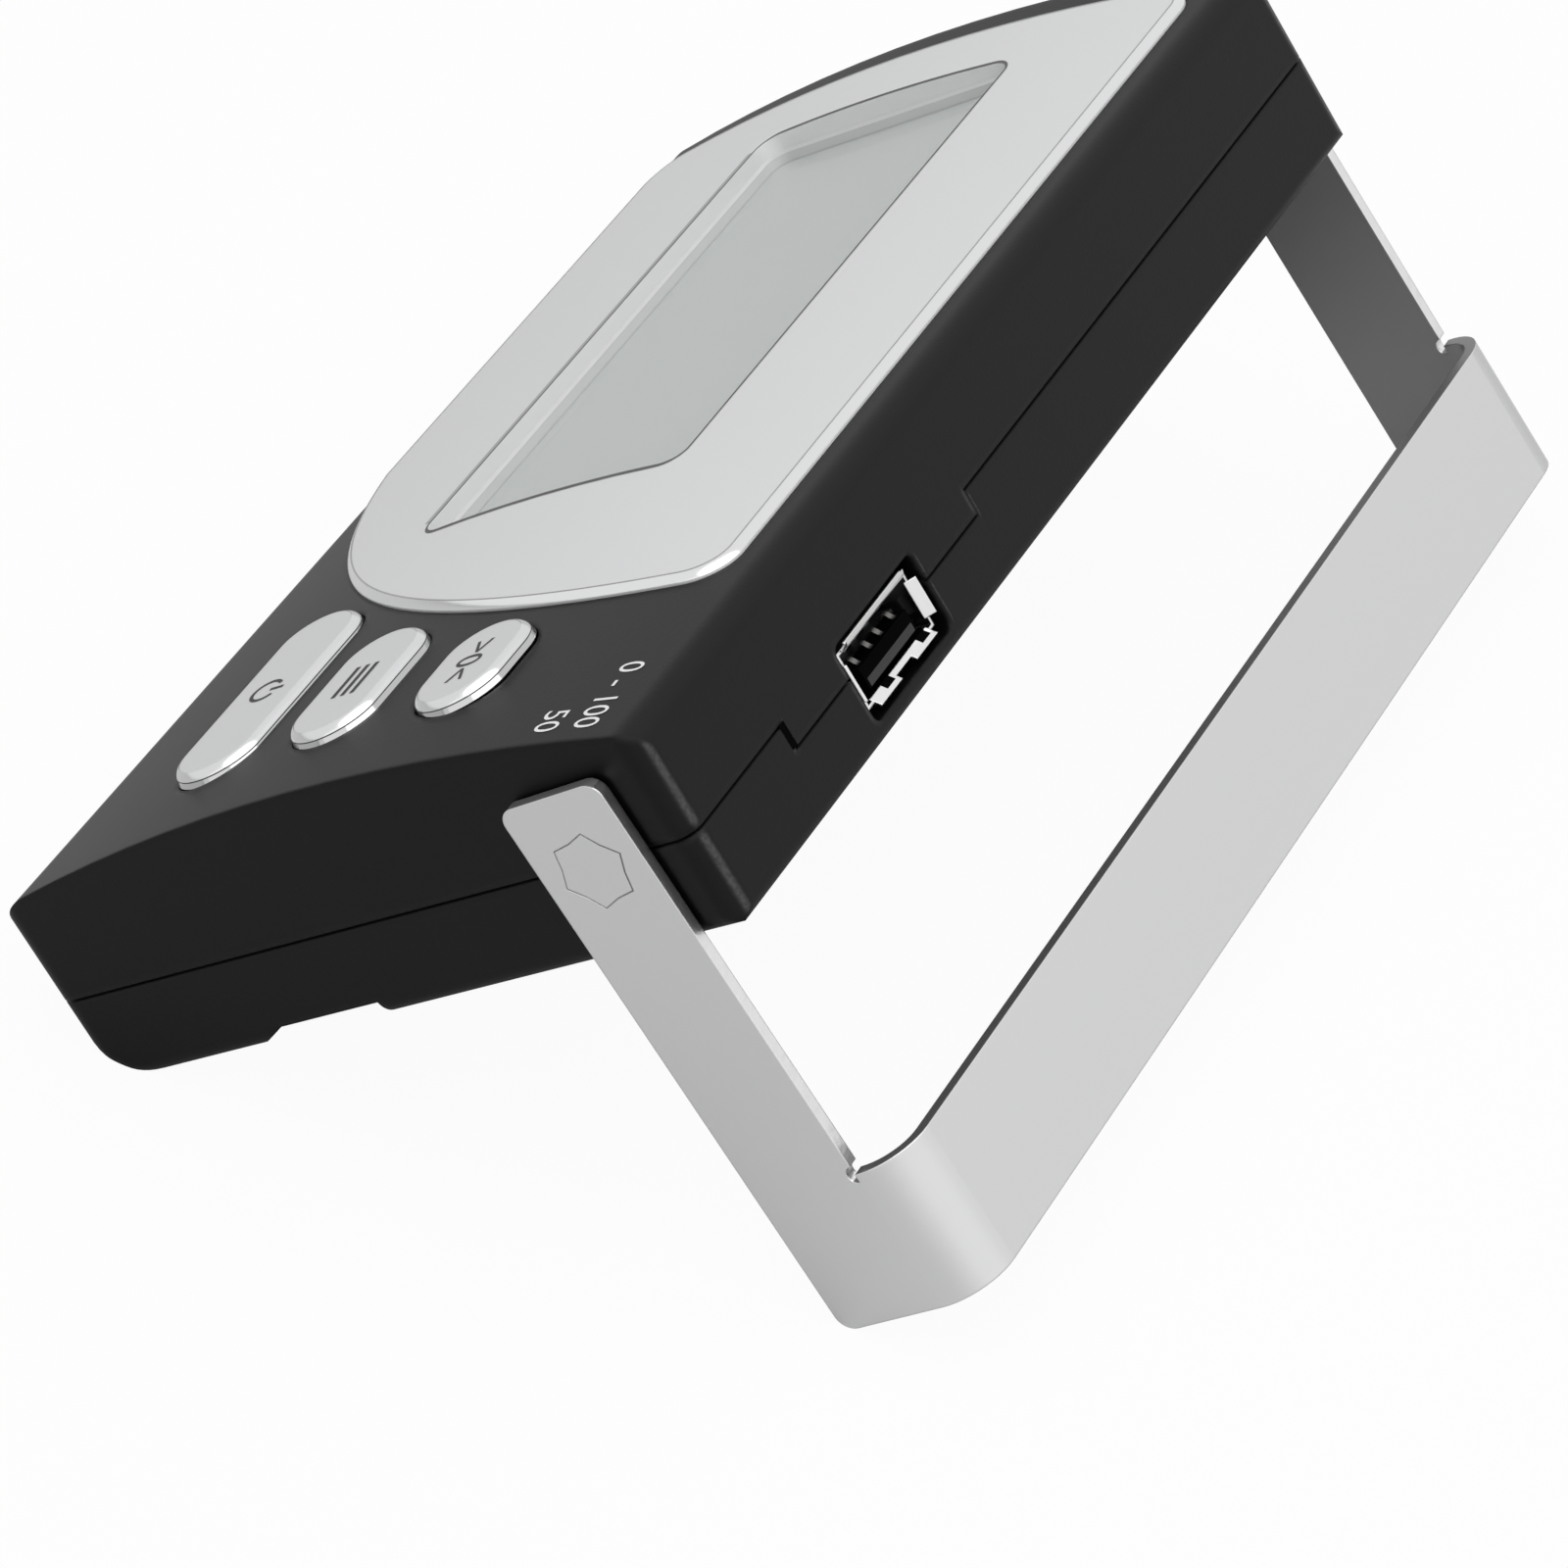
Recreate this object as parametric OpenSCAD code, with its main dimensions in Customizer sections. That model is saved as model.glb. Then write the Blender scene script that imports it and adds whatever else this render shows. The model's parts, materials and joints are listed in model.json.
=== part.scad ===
// Display terminal of a platform scale, on a folding sheet-metal stand.
// Millimetres. X runs in reading direction, Y to the back and Z up; the floor is Z = 0.
// Inner pieces are placed in the case's own frame: x and y from the middle of its back, z from the back out.

/* [Case] */
// Length of the case
body_w = 129; // [126:0.5:150]
// Height of the case, from its lower side to its upper side
body_h = 74; // [72:0.5:90]
// Thickness of the case along its upper and lower edges
body_t = 19; // [18.6:0.1:22]
// Rise of the arched face above its edges
crown = 3.4; // [3:0.1:4.5]
// Wall thickness
wall = 2; // [1.6:0.1:2.2]
// Height of the seam between the two shells, which is also the height of the pivots
seam_z = 9; // [8.8:0.1:9.4]
// Radius of the case's vertical corners
corner_r = 2; // [1:0.1:4]
// Radius of the upper front edge
front_r = 2.6; // [2.4:0.1:3]
// Radius of the lower front edge
toe_r = 4; // [2.6:0.1:5]
// Radius of the heel that the case stands on
heel_r = 7.5; // [6:0.1:8]
// Radius of the upper back edge
back_r = 1; // [0.5:0.1:2]
// Radius of the back edges at the ends
end_r = 1.2; // [1.2:0.1:2]
// Width of the seam line
seam_line = 0.3; // [0.2:0.05:0.5]
// Depth of the seam line
seam_line_depth = 0.5; // [0.3:0.1:0.8]

/* [Finger groove] */
// Distance of the groove from the upper side
groove_top = 40; // [39:0.5:42]
// Width of the groove's floor
groove_floor = 11.4; // [8:0.1:13]
// Length of the groove's sloping lower side
groove_slope = 3.4; // [2:0.1:5]
// Depth of the groove
groove_depth = 1.5; // [0.8:0.1:2]

/* [Display] */
// Distance of the window from the right end
window_right = 44.8; // [43:0.1:47]
// Distance of the window from the upper side
window_top = 19.3; // [18:0.1:21]
// Distance of the window from the left end
window_left = 14.2; // [12:0.1:20]
// Distance of the window from the lower side
window_bottom = 24.3; // [23:0.1:26]
// Radius of the window's corners
window_r = 2.2; // [1:0.1:4]
// Distance of the bezel's round right side from the right end
bezel_right = 23.2; // [22.6:0.1:26]
// Distance of that arc's centre from the right end
bezel_arc_x = 81.5; // [80:0.1:83]
// Distance of that arc's centre from the upper side
bezel_arc_y = 14.3; // [13:0.1:16]
// Margin of the bezel along the upper side
bezel_top = 3.7; // [3.2:0.1:5]
// Margin of the bezel along the lower side
bezel_bottom = 3.2; // [3:0.1:5]
// Margin of the bezel at the left end
bezel_left = 4.5; // [3:0.1:6]
// Radius of the bezel's corners
bezel_corner = 4.5; // [3:0.1:6]
// Height of the bezel above the face
bezel_raise = 0.8; // [0.5:0.1:1.2]
// Height of the sloping part of the bezel's rim
rim_h = 0.55; // [0.3:0.05:0.7]
// Width of the sloping part of the bezel's rim
rim_w = 0.7; // [0.4:0.05:0.9]
// Depth of the bezel's seat in the face
bezel_seat = 0.4; // [0.3:0.1:0.6]
// Thickness of the bezel's skirt round the window
skirt_t = 0.9; // [0.6:0.1:1.4]
// Gap between the bezel and the window plate
skirt_gap = 0.05; // [0.03:0.01:0.1]
// Thickness of the window plate
window_t = 0.8; // [0.6:0.1:1.2]
// Border of the window plate behind the face
window_border = 1.4; // [1.2:0.1:2]
// Gap round the window plate in its pocket
plate_gap = 0.1; // [0.05:0.01:0.3]
// Thickness of the foam gasket
gasket_t = 0.2; // [0.2:0.1:0.6]
// Thickness of the liquid-crystal glass
lcd_t = 2.4; // [2:0.1:2.8]
// Thickness of the light panel
panel_t = 2; // [1.5:0.1:2.4]
// Thickness of the holder's deck
deck_t = 1; // [0.8:0.1:1.4]
// Wall of the display holder
holder_wall = 1.5; // [1:0.1:2]
// Width of a contact strip
strip_w = 1.6; // [1.2:0.1:2.2]
// Distance of a contact strip's end from the window's end
strip_end = 5; // [3:0.5:10]

/* [Buttons] */
// Distance of the buttons' right ends from the right end
button_right = 7.8; // [7.4:0.1:8.4]
// Height of a button
button_h = 9; // [8:0.1:9.6]
// Length of the upper button
tare_len = 13.1; // [12.6:0.1:14]
// Length of the middle button
mode_len = 16.8; // [15:0.1:17.6]
// Length of the lower button
power_len = 26; // [22:0.1:27]
// Distance of the upper button's middle from the upper side
button_first = 24; // [23.5:0.1:25]
// Distance between buttons
button_pitch = 14.2; // [13.6:0.1:14.6]
// Height of a button above the face
button_raise = 1.1; // [0.8:0.1:1.6]
// Chamfer of a button's top edge
button_chamfer = 0.6; // [0.3:0.1:0.7]
// Gap round a button in the face
button_gap = 0.3; // [0.2:0.05:0.4]
// Border of a button's flange behind the face
flange_border = 1; // [0.8:0.1:1.2]
// Thickness of a button's flange
flange_t = 1; // [0.8:0.1:1.4]
// Gap between a flange and the face's inside
flange_gap = 0.05; // [0.02:0.01:0.1]
// Travel of a button
button_travel = 0.6; // [0.4:0.1:0.8]
// Gap left over a switch when its button is pressed
switch_gap = 0.1; // [0.05:0.01:0.15]
// Diameter of a button's stem
stem_d = 4; // [3:0.1:5]

/* [Board] */
// Distance of the circuit board from the case's ends
board_end = 14.5; // [14:0.1:16]
// Distance of the circuit board from the upper and lower sides
board_edge = 11; // [10.5:0.1:12]
// Distance of the left board screws from the board's edges
board_screw_edge = 3.5; // [3:0.1:4]
// Thickness of the circuit board
board_t = 1.6; // [1.2:0.1:1.8]
// Width of the board's tab over the socket
tab_w = 24; // [18:0.5:27]
// Gap between the tab and the case's wall
tab_gap = 1.5; // [1:0.1:3]
// Side of a switch
switch_w = 6; // [5:0.1:7]
// Height of a switch without its plunger
switch_h = 3.5; // [3:0.1:4]
// Height of a switch's plunger
plunger_h = 1; // [0.6:0.1:1.2]
// Diameter of a switch's plunger
plunger_d = 3.4; // [2.5:0.1:3.6]
// Distance of the switches from the right end
switch_right = 17.6; // [17.4:0.1:18]
// Side of the controller
chip_w = 10; // [7:0.5:12]
// Height of the controller
chip_h = 1.4; // [1:0.1:2]
// Diameter of a round capacitor
cap_d = 5; // [3:0.5:6]
// Height of a round capacitor
cap_h = 4; // [2:0.1:4.4]

/* [Screws] */
// Distance of the upper case screws from the ends
screw_upper_x = 10.5; // [10:0.1:10.8]
// Distance of the upper case screws from the upper side
screw_upper_y = 15.5; // [15:0.1:15.8]
// Distance of the lower case screws from the ends
screw_lower_x = 7.5; // [7:0.1:9]
// Distance of the lower case screws from the lower side
screw_lower_y = 11.5; // [11:0.1:13]
// Shank diameter of a case screw
screw_d = 2.6; // [2:0.1:2.8]
// Head diameter of a case screw
screw_head_d = 5; // [4.4:0.1:5]
// Head height of a case screw
screw_head_h = 1.8; // [1.2:0.1:2.2]
// Depth of a case screw's head below the back
screw_sink = 2; // [1:0.1:3]
// Diameter of a post for a case screw
post_d = 6; // [5.6:0.1:6]
// Shank diameter of a board screw
board_screw_d = 2; // [1.6:0.1:2.2]
// Head diameter of a board screw
board_screw_head_d = 4; // [3.4:0.1:4.4]
// Head height of a board screw
board_screw_head_h = 1.2; // [0.8:0.1:1.6]
// Diameter of a post for a board screw
board_post_d = 5; // [4.4:0.1:5.4]
// Clearance round a screw
screw_gap = 0.05; // [0.03:0.01:0.08]

/* [Socket] */
// Distance of the socket's middle from the right end
socket_right = 34.4; // [34:0.1:36]
// Width of the socket's shell
socket_w = 13.1; // [12.6:0.1:13.2]
// Height of the socket's shell
socket_h = 5.7; // [5.5:0.1:5.8]
// Depth of the socket
socket_depth = 14; // [12:0.1:15]
// Sheet thickness of the socket's shell
socket_sheet = 0.3; // [0.2:0.05:0.4]
// Gap in the middle of the socket's lower lip
lip_split = 3; // [1:0.1:5]
// Length of a flared lip
lip_len = 1.2; // [0.8:0.1:1.4]
// Angle of a flared lip
lip_angle = 40; // [30:1:50]
// Gap round the socket in the case
socket_gap = 0.3; // [0.2:0.05:0.4]
// Width of the part of the seam that dips to the socket
dip_w = 36; // [30:0.5:38]
// Height of the dipped seam
dip_z = 6.5; // [6:0.1:7]
// Width of the socket's tongue
tongue_w = 11.1; // [10:0.1:11.4]
// Thickness of the socket's tongue
tongue_t = 1.8; // [1.4:0.1:2]
// Length of the socket's tongue
tongue_len = 8.6; // [7:0.1:9]
// Drop of the tongue below the socket's middle
tongue_drop = 0.7; // [0.5:0.05:0.9]
// Length of the socket's rear block
socket_block = 3; // [2:0.1:4]
// Width of a contact
contact_w = 1; // [0.7:0.05:1.2]
// Thickness of a contact
contact_t = 0.25; // [0.15:0.05:0.4]
// Length of a contact
contact_len = 7; // [5:0.1:7.5]
// Distance between the two middle contacts
contact_inner = 2; // [1.8:0.1:2.2]
// Distance between a middle contact and an outer one
contact_outer = 2.5; // [2.3:0.1:2.6]

/* [Stand] */
// Distance of the pivots from the upper side
pivot_top = 9.8; // [9.4:0.1:10.2]
// Sheet thickness of the stand
sheet = 1.2; // [1:0.1:1.5]
// Gap between an arm and the case's end
arm_gap = 0.4; // [0.35:0.05:0.8]
// Width of an arm
arm_w = 11; // [9.5:0.1:12]
// Length of an arm in front of its pivot
arm_front = 7.5; // [6.5:0.1:8.5]
// Length of an arm behind its pivot
arm_rear = 47.2; // [44:0.1:55]
// Width of the crossbar
bar_w = 14.1; // [12:0.1:16]
// Gap between the back and the folded crossbar
bar_gap = 0.4; // [0.35:0.05:1]
// Radius of the arms' front corners
arm_r = 1.5; // [1:0.1:3]
// Radius of the arms' feet
foot_r = 1.6; // [1:0.1:3]
// Radius of the relief notch beside a bend
relief_r = 0.8; // [0.5:0.1:1]
// Angle of the open stand past a right angle to the back
open_angle = 2.1; // [0:0.1:6]
// Diameter of a pivot's shank
pivot_d = 5; // [4:0.1:5.2]
// Clearance round a pivot's shank
pivot_gap = 0.05; // [0.02:0.01:0.09]
// Distance of the star's points from its middle
star_point = 3.65; // [3.4:0.05:4]
// Distance of the star's hollows from its middle
star_hollow = 3; // [2.7:0.05:3.2]
// Turn of the star
star_turn = 13; // [0:1:59]
// Gap between a star and its hole
star_gap = 0.05; // [0.03:0.01:0.09]
// Diameter of a pivot's collar
collar_d = 8; // [7:0.1:8.2]
// Thickness of a pivot's collar
collar_t = 1.5; // [1:0.1:2]
// Thickness of a friction washer
washer_t = 0.6; // [0.4:0.1:0.8]
// Gap between a collar and its washer
collar_gap = 0.05; // [0.02:0.01:0.1]

/* [Part] */
// The sub-part to draw

/* [Hidden] */
$fn = 96;

// A cut reaches this far past the solid it cuts
over = 1;
half_w = body_w / 2;
half_h = body_h / 2;

// The arched face is part of a cylinder along x
crown_r = (half_h * half_h + crown * crown) / (2 * crown);
crown_z = body_t + crown - crown_r;
function face_z(y, inset) = crown_z + sqrt((crown_r - inset) * (crown_r - inset) - y * y);

// Display stack, from the window down to the board
window_w = body_w - window_right - window_left;
window_h = body_h - window_top - window_bottom;
window_x = half_w - window_right - window_w / 2;
window_y = half_h - window_top - window_h / 2;
plate_w = window_w + 2 * window_border;
plate_h = window_h + 2 * window_border;
window_z = face_z(abs(window_y) + plate_h / 2, bezel_seat) - skirt_gap;
gasket_z = window_z - window_t;
lcd_z = gasket_z - gasket_t;
lcd_bottom = lcd_z - lcd_t;
panel_bottom = lcd_bottom - panel_t;
strip_y = plate_h / 2 - holder_wall - strip_w;
strip_len = window_w - 2 * strip_end;

// Socket under the board, which rests on it
socket_x = half_w - socket_right;
socket_z = dip_z - 1;
board_z = socket_z + socket_h / 2;
board_top = board_z + board_t;
board_w = body_w - 2 * board_end;
board_h = body_h - 2 * board_edge;
lip_reach = lip_len * sin(lip_angle);
lip_depth = lip_len * cos(lip_angle);
socket_mouth = half_h - lip_depth;

// Buttons and switches
button_len = [tare_len, mode_len, power_len];
button_y = [for (i = [0:2]) half_h - button_first - i * button_pitch];
switch_x = half_w - switch_right;
plunger_top = board_top + switch_h + plunger_h;
stem_bottom = plunger_top + button_travel + switch_gap;

// Screws
screw_at = [for (s = [-1, 1]) each [[s * (half_w - screw_upper_x), half_h - screw_upper_y],
                                    [s * (half_w - screw_lower_x), screw_lower_y - half_h]]];
board_screw_at = [[board_screw_edge - board_w / 2, board_h / 2 - board_screw_edge],
                  [board_screw_edge - board_w / 2, board_screw_edge - board_h / 2],
                  [switch_x, (button_y[0] + button_y[1]) / 2],
                  [switch_x, (button_y[1] + button_y[2]) / 2]];
screw_len = face_z(half_h - screw_upper_y, 0) - screw_sink - 2 * wall - 2;

// Stand, drawn with the pivot at the origin and the arms down along z
pivot_y = half_h - pivot_top;
arm_x = half_w + arm_gap;
stand_x = arm_x + sheet;
bar_inner = seam_z + bar_gap;
bar_outer = bar_inner + sheet;
bend_r = bar_outer - arm_w / 2;
collar_x = half_w - wall - washer_t - collar_gap;

// The case leans until its heel and the arms' feet touch the floor together
foot_y = pivot_y + (arm_rear - foot_r) * sin(open_angle) - (arm_w / 2 - foot_r) * cos(open_angle);
foot_z = seam_z - (arm_rear - foot_r) * cos(open_angle) - (arm_w / 2 - foot_r) * sin(open_angle);
heel_y = heel_r - half_h;
span = sqrt((foot_y - heel_y) * (foot_y - heel_y) + (foot_z - heel_r) * (foot_z - heel_r));
tilt = asin((foot_r - heel_r) / span) - atan2(foot_z - heel_r, foot_y - heel_y);
lift = heel_r - heel_y * sin(tilt) - heel_r * cos(tilt);

// The origin is below the middle of the whole part
toe_y = toe_r - half_h;
toe_z = crown_z + sqrt((crown_r - toe_r) * (crown_r - toe_r) - toe_y * toe_y);
front_end = toe_y * cos(tilt) - toe_z * sin(tilt) - toe_r;
bar_y = pivot_y + arm_rear * sin(open_angle) + bar_outer * cos(open_angle);
bar_z = seam_z - arm_rear * cos(open_angle) + bar_outer * sin(open_angle);
back_end = bar_y * cos(tilt) - bar_z * sin(tilt);
shift = -(front_end + back_end) / 2;

// Frames and shared forms

module in_case() {
    translate([0, shift, lift])
        rotate([tilt, 0, 0])
            children();
}

module in_stand() {
    in_case()
        translate([0, pivot_y, seam_z])
            rotate([open_angle, 0, 0])
                children();
}

// Extrudes a drawing of y and z along x, about the middle
module along_x(length) {
    translate([-length / 2, 0, 0])
        rotate([90, 0, 90])
            linear_extrude(length)
                children();
}

module rounded(w, h, r) {
    square([w - 2 * r, h], center = true);
    square([w, h - 2 * r], center = true);
    for (sx = [-1, 1], sy = [-1, 1])
        translate([sx * (w / 2 - r), sy * (h / 2 - r)])
            circle(r);
}

module pill(length, height) {
    square([length - height, height], center = true);
    for (s = [-1, 1])
        translate([s * (length - height) / 2, 0])
            circle(height / 2);
}

module ring(outer, inner) {
    difference() {
        circle(d = outer);
        circle(d = inner);
    }
}

// The waste outside a rounded corner at the origin
module corner_waste(r) {
    difference() {
        translate([-over, -over])
            square(r + over);
        translate([r, r])
            circle(r);
    }
}

// The waste outside the rounded edge between a side and the arched face
module edge_waste(inset, r) {
    y = half_h - inset - r;
    z = crown_z + sqrt((crown_r - inset - r) * (crown_r - inset - r) - y * y);
    slope = asin(y / (crown_r - inset - r));
    reach = r + over;
    difference() {
        polygon([[y, z], [y + reach, z], [y + reach, z + reach],
                 [y + reach * sin(slope), z + reach * cos(slope)]]);
        translate([y, z])
            circle(r);
    }
}

// The case's section across its length
module side_profile(inset) {
    half = half_h - inset;
    difference() {
        intersection() {
            translate([0, crown_z])
                circle(crown_r - inset, $fn = 720);
            translate([-half, inset])
                square([2 * half, body_t + crown]);
        }
        translate([-half, inset])
            corner_waste(heel_r - inset);
        translate([half, inset])
            mirror([1, 0])
                corner_waste(max(back_r - inset, 0.1));
        edge_waste(inset, front_r - inset);
        mirror([1, 0])
            edge_waste(inset, toe_r - inset);
    }
}

// The case's section along its length, with rounded back edges at the ends
module end_profile(inset) {
    half = half_w - inset;
    difference() {
        translate([-half, inset])
            square([2 * half, body_t + crown]);
        for (s = [0, 1])
            mirror([s, 0])
                translate([-half, inset])
                    corner_waste(max(end_r - inset, 0.1));
    }
}

module case_solid(inset) {
    intersection() {
        translate([0, half_h + over, 0])
            rotate([90, 0, 0])
                linear_extrude(body_h + 2 * over)
                    end_profile(inset);
        along_x(body_w - 2 * inset)
            side_profile(inset);
        translate([0, 0, -over])
            linear_extrude(body_t + crown + 2 * over)
                rounded(body_w - 2 * inset, body_h - 2 * inset, max(corner_r - inset, 0.5));
    }
}

// Everything above the stepped seam, lowered by a gap
module above_seam(gap) {
    translate([-half_w - over, -half_h - over, seam_z - gap])
        cube([body_w + 2 * over, body_h + 2 * over, body_t + crown]);
    translate([socket_x - dip_w / 2, half_h - wall, dip_z - gap])
        cube([dip_w, wall + over, body_t]);
}

module socket_hole() {
    translate([socket_x, half_h - wall - over, socket_z])
        rotate([-90, 0, 0])
            linear_extrude(wall + 2 * over)
                rounded(socket_w + 2 * (lip_reach + socket_gap),
                        socket_h + 2 * (lip_reach + socket_gap), 1);
}

module pivot_holes() {
    translate([0, pivot_y, seam_z])
        along_x(body_w + 2 * over)
            circle(pivot_d / 2 + pivot_gap);
}

// The bezel seen from the front, drawn in by an inset
module bezel_outline(inset) {
    arc_x = half_w - bezel_arc_x;
    arc_y = half_h - bezel_arc_y;
    arc_r = bezel_arc_x - bezel_right - inset;
    corner = bezel_corner - inset;
    left = bezel_left - half_w + inset;
    top = half_h - bezel_top - inset;
    bottom = bezel_bottom - half_h + inset;
    inner = arc_r - corner;
    corner_x = arc_x + sqrt(inner * inner - (top - corner - arc_y) * (top - corner - arc_y));
    difference() {
        intersection() {
            translate([left, bottom])
                square([arc_x + arc_r - left, top - bottom]);
            union() {
                translate([arc_x, arc_y])
                    circle(arc_r, $fn = 360);
                translate([left, bottom])
                    square([arc_x - left, top - bottom]);
            }
        }
        translate([left, top])
            rotate(-90)
                corner_waste(corner);
        translate([left, bottom])
            corner_waste(corner);
        difference() {
            polygon([[corner_x, top - corner], [corner_x, top + over],
                     [arc_x + arc_r + over, top + over],
                     [arc_x + (corner_x - arc_x) * (arc_r + over) / inner,
                      arc_y + (top - corner - arc_y) * (arc_r + over) / inner]]);
            translate([corner_x, top - corner])
                circle(corner);
        }
    }
}

// A layer that follows the arched face, from one height over it to another
module face_layer(low, high) {
    translate([0, 0, crown_z])
        along_x(body_w)
            intersection() {
                difference() {
                    circle(crown_r + high, $fn = 720);
                    circle(crown_r + low, $fn = 720);
                }
                translate([-half_h, 0])
                    square([body_h, crown_r + high]);
            }
}

module bezel_layer(low, high, inset) {
    intersection() {
        face_layer(low, high);
        translate([0, 0, seam_z])
            linear_extrude(body_t)
                bezel_outline(inset);
    }
}

module window_prism(low, high) {
    translate([window_x, window_y, low])
        linear_extrude(high - low)
            rounded(window_w, window_h, window_r);
}

// Shells

module front_shell() {
    color("#2b2c2e")
        in_case()
            difference() {
                union() {
                    difference() {
                        intersection() {
                            case_solid(0);
                            above_seam(0);
                        }
                        case_solid(wall);
                    }
                    intersection() {
                        case_solid(wall / 2);
                        for (p = screw_at)
                            translate([p[0], p[1], seam_z])
                                cylinder(d = post_d, h = body_t);
                    }
                }
                bezel_layer(-bezel_seat, bezel_raise, 0);
                // The opening for the window plate and the display behind it
                translate([window_x - plate_w / 2 - plate_gap, window_y - plate_h / 2 - plate_gap, seam_z])
                    cube([plate_w + 2 * plate_gap, plate_h + 2 * plate_gap, body_t]);
                for (i = [0:2])
                    translate([half_w - button_right - button_len[i] / 2, button_y[i], seam_z])
                        linear_extrude(body_t)
                            pill(button_len[i] + 2 * button_gap, button_h + 2 * button_gap);
                for (p = screw_at)
                    translate([p[0], p[1], 0])
                        cylinder(d = screw_d + 2 * screw_gap, h = screw_sink + screw_len + screw_gap);
                socket_hole();
                pivot_holes();
            }
}

module groove_profile() {
    top = half_h - groove_top;
    polygon([[top + over * 0.6, -over], [top, 0], [top - 0.6, groove_depth],
             [top - 0.6 - groove_floor, groove_depth],
             [top - 0.6 - groove_floor - groove_slope, 0],
             [top - 0.6 - groove_floor - groove_slope - over, -over]]);
}

module rear_shell() {
    ridge = groove_floor + groove_slope + 2 * wall;
    color("#2b2c2e")
        in_case()
            difference() {
                union() {
                    difference() {
                        case_solid(0);
                        case_solid(wall);
                        above_seam(0);
                    }
                    // The inside of the finger groove
                    intersection() {
                        case_solid(wall / 2);
                        translate([-half_w, half_h - groove_top + wall - ridge, 0])
                            cube([body_w, ridge, groove_depth + wall]);
                    }
                    intersection() {
                        case_solid(wall / 2);
                        union() {
                            for (p = screw_at)
                                translate([p[0], p[1], 0])
                                    cylinder(d = post_d + wall, h = seam_z);
                            for (p = board_screw_at)
                                translate([p[0], p[1], 0])
                                    cylinder(d = board_post_d, h = board_z);
                        }
                    }
                }
                // The narrow line along the seam
                difference() {
                    intersection() {
                        case_solid(-over);
                        above_seam(seam_line);
                    }
                    case_solid(seam_line_depth);
                }
                along_x(body_w + 2 * over)
                    groove_profile();
                for (p = screw_at)
                    translate([p[0], p[1], -over]) {
                        cylinder(d = screw_head_d + 2 * screw_gap, h = screw_sink + screw_head_h + over);
                        cylinder(d = screw_d + 2 * screw_gap, h = body_t);
                    }
                for (p = board_screw_at)
                    translate([p[0], p[1], groove_depth + wall])
                        cylinder(d = board_screw_d + 2 * screw_gap, h = body_t);
                socket_hole();
                pivot_holes();
            }
}

// Display

module display_bezel() {
    color("#c9cbcd")
        in_case()
            difference() {
                union() {
                    bezel_layer(-bezel_seat, bezel_raise - rim_h, 0);
                    bezel_layer(-bezel_seat, bezel_raise, rim_w);
                    // The skirt that reaches down to the window plate
                    intersection() {
                        translate([0, 0, crown_z])
                            along_x(body_w)
                                circle(crown_r, $fn = 720);
                        translate([window_x, window_y, window_z + skirt_gap])
                            linear_extrude(body_t)
                                rounded(window_w + 2 * skirt_t, window_h + 2 * skirt_t, window_r + skirt_t);
                    }
                }
                window_prism(seam_z, body_t + crown + bezel_raise + over);
            }
}

module display_window() {
    color("#d5dad8")
        in_case()
            translate([window_x, window_y, gasket_z])
                linear_extrude(window_t)
                    rounded(plate_w, plate_h, window_r);
}

module window_gasket() {
    color("#1c1c1c")
        in_case()
            translate([window_x, window_y, lcd_z])
                linear_extrude(gasket_t)
                    difference() {
                        rounded(plate_w, plate_h, window_r);
                        rounded(window_w, window_h, window_r);
                    }
}

module lcd_glass() {
    color("#aab0ac")
        in_case()
            translate([window_x - plate_w / 2, window_y - plate_h / 2, lcd_bottom])
                cube([plate_w, plate_h, lcd_t]);
}

module lcd_holder() {
    inner_w = plate_w - 2 * holder_wall;
    inner_h = plate_h - 2 * holder_wall;
    color("#e4e4e0")
        in_case()
            translate([window_x, window_y, board_top])
                difference() {
                    translate([-plate_w / 2, -plate_h / 2, 0])
                        cube([plate_w, plate_h, lcd_bottom - board_top]);
                    translate([-inner_w / 2, -inner_h / 2, panel_bottom - board_top])
                        cube([inner_w, inner_h, panel_t + over]);
                    translate([-inner_w / 2, -inner_h / 2, -over])
                        cube([inner_w, inner_h, panel_bottom - deck_t - board_top + over]);
                    for (s = [-1, 1])
                        translate([-strip_len / 2, s * (strip_y + strip_w / 2) - strip_w / 2, 0])
                            cube([strip_len, strip_w, panel_bottom]);
                }
}

module backlight_panel() {
    color("#f2f2ec")
        in_case()
            translate([window_x - plate_w / 2 + holder_wall, window_y - strip_y, panel_bottom])
                cube([plate_w - 2 * holder_wall, 2 * strip_y, panel_t]);
}

module contact_strip(side) {
    color("#3a3a3c")
        in_case()
            translate([window_x - strip_len / 2,
                       window_y + side * (strip_y + strip_w / 2) - strip_w / 2, board_top])
                cube([strip_len, strip_w, lcd_bottom - board_top]);
}

module upper_contact_strip() {
    contact_strip(1);
}

module lower_contact_strip() {
    contact_strip(-1);
}

// Board

module main_board() {
    color("#2f6b3f")
        in_case()
            translate([0, 0, board_z])
                linear_extrude(board_t)
                    difference() {
                        union() {
                            square([board_w, board_h], center = true);
                            translate([socket_x - tab_w / 2, 0])
                                square([tab_w, half_h - wall - tab_gap]);
                        }
                        for (p = board_screw_at)
                            translate(p)
                                circle(d = board_screw_d + 2 * screw_gap);
                    }
}

module controller_chip() {
    color("#151515")
        in_case()
            translate([-chip_w * 2, chip_w / 2, board_z - chip_h])
                cube([chip_w, chip_w, chip_h]);
}

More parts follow.
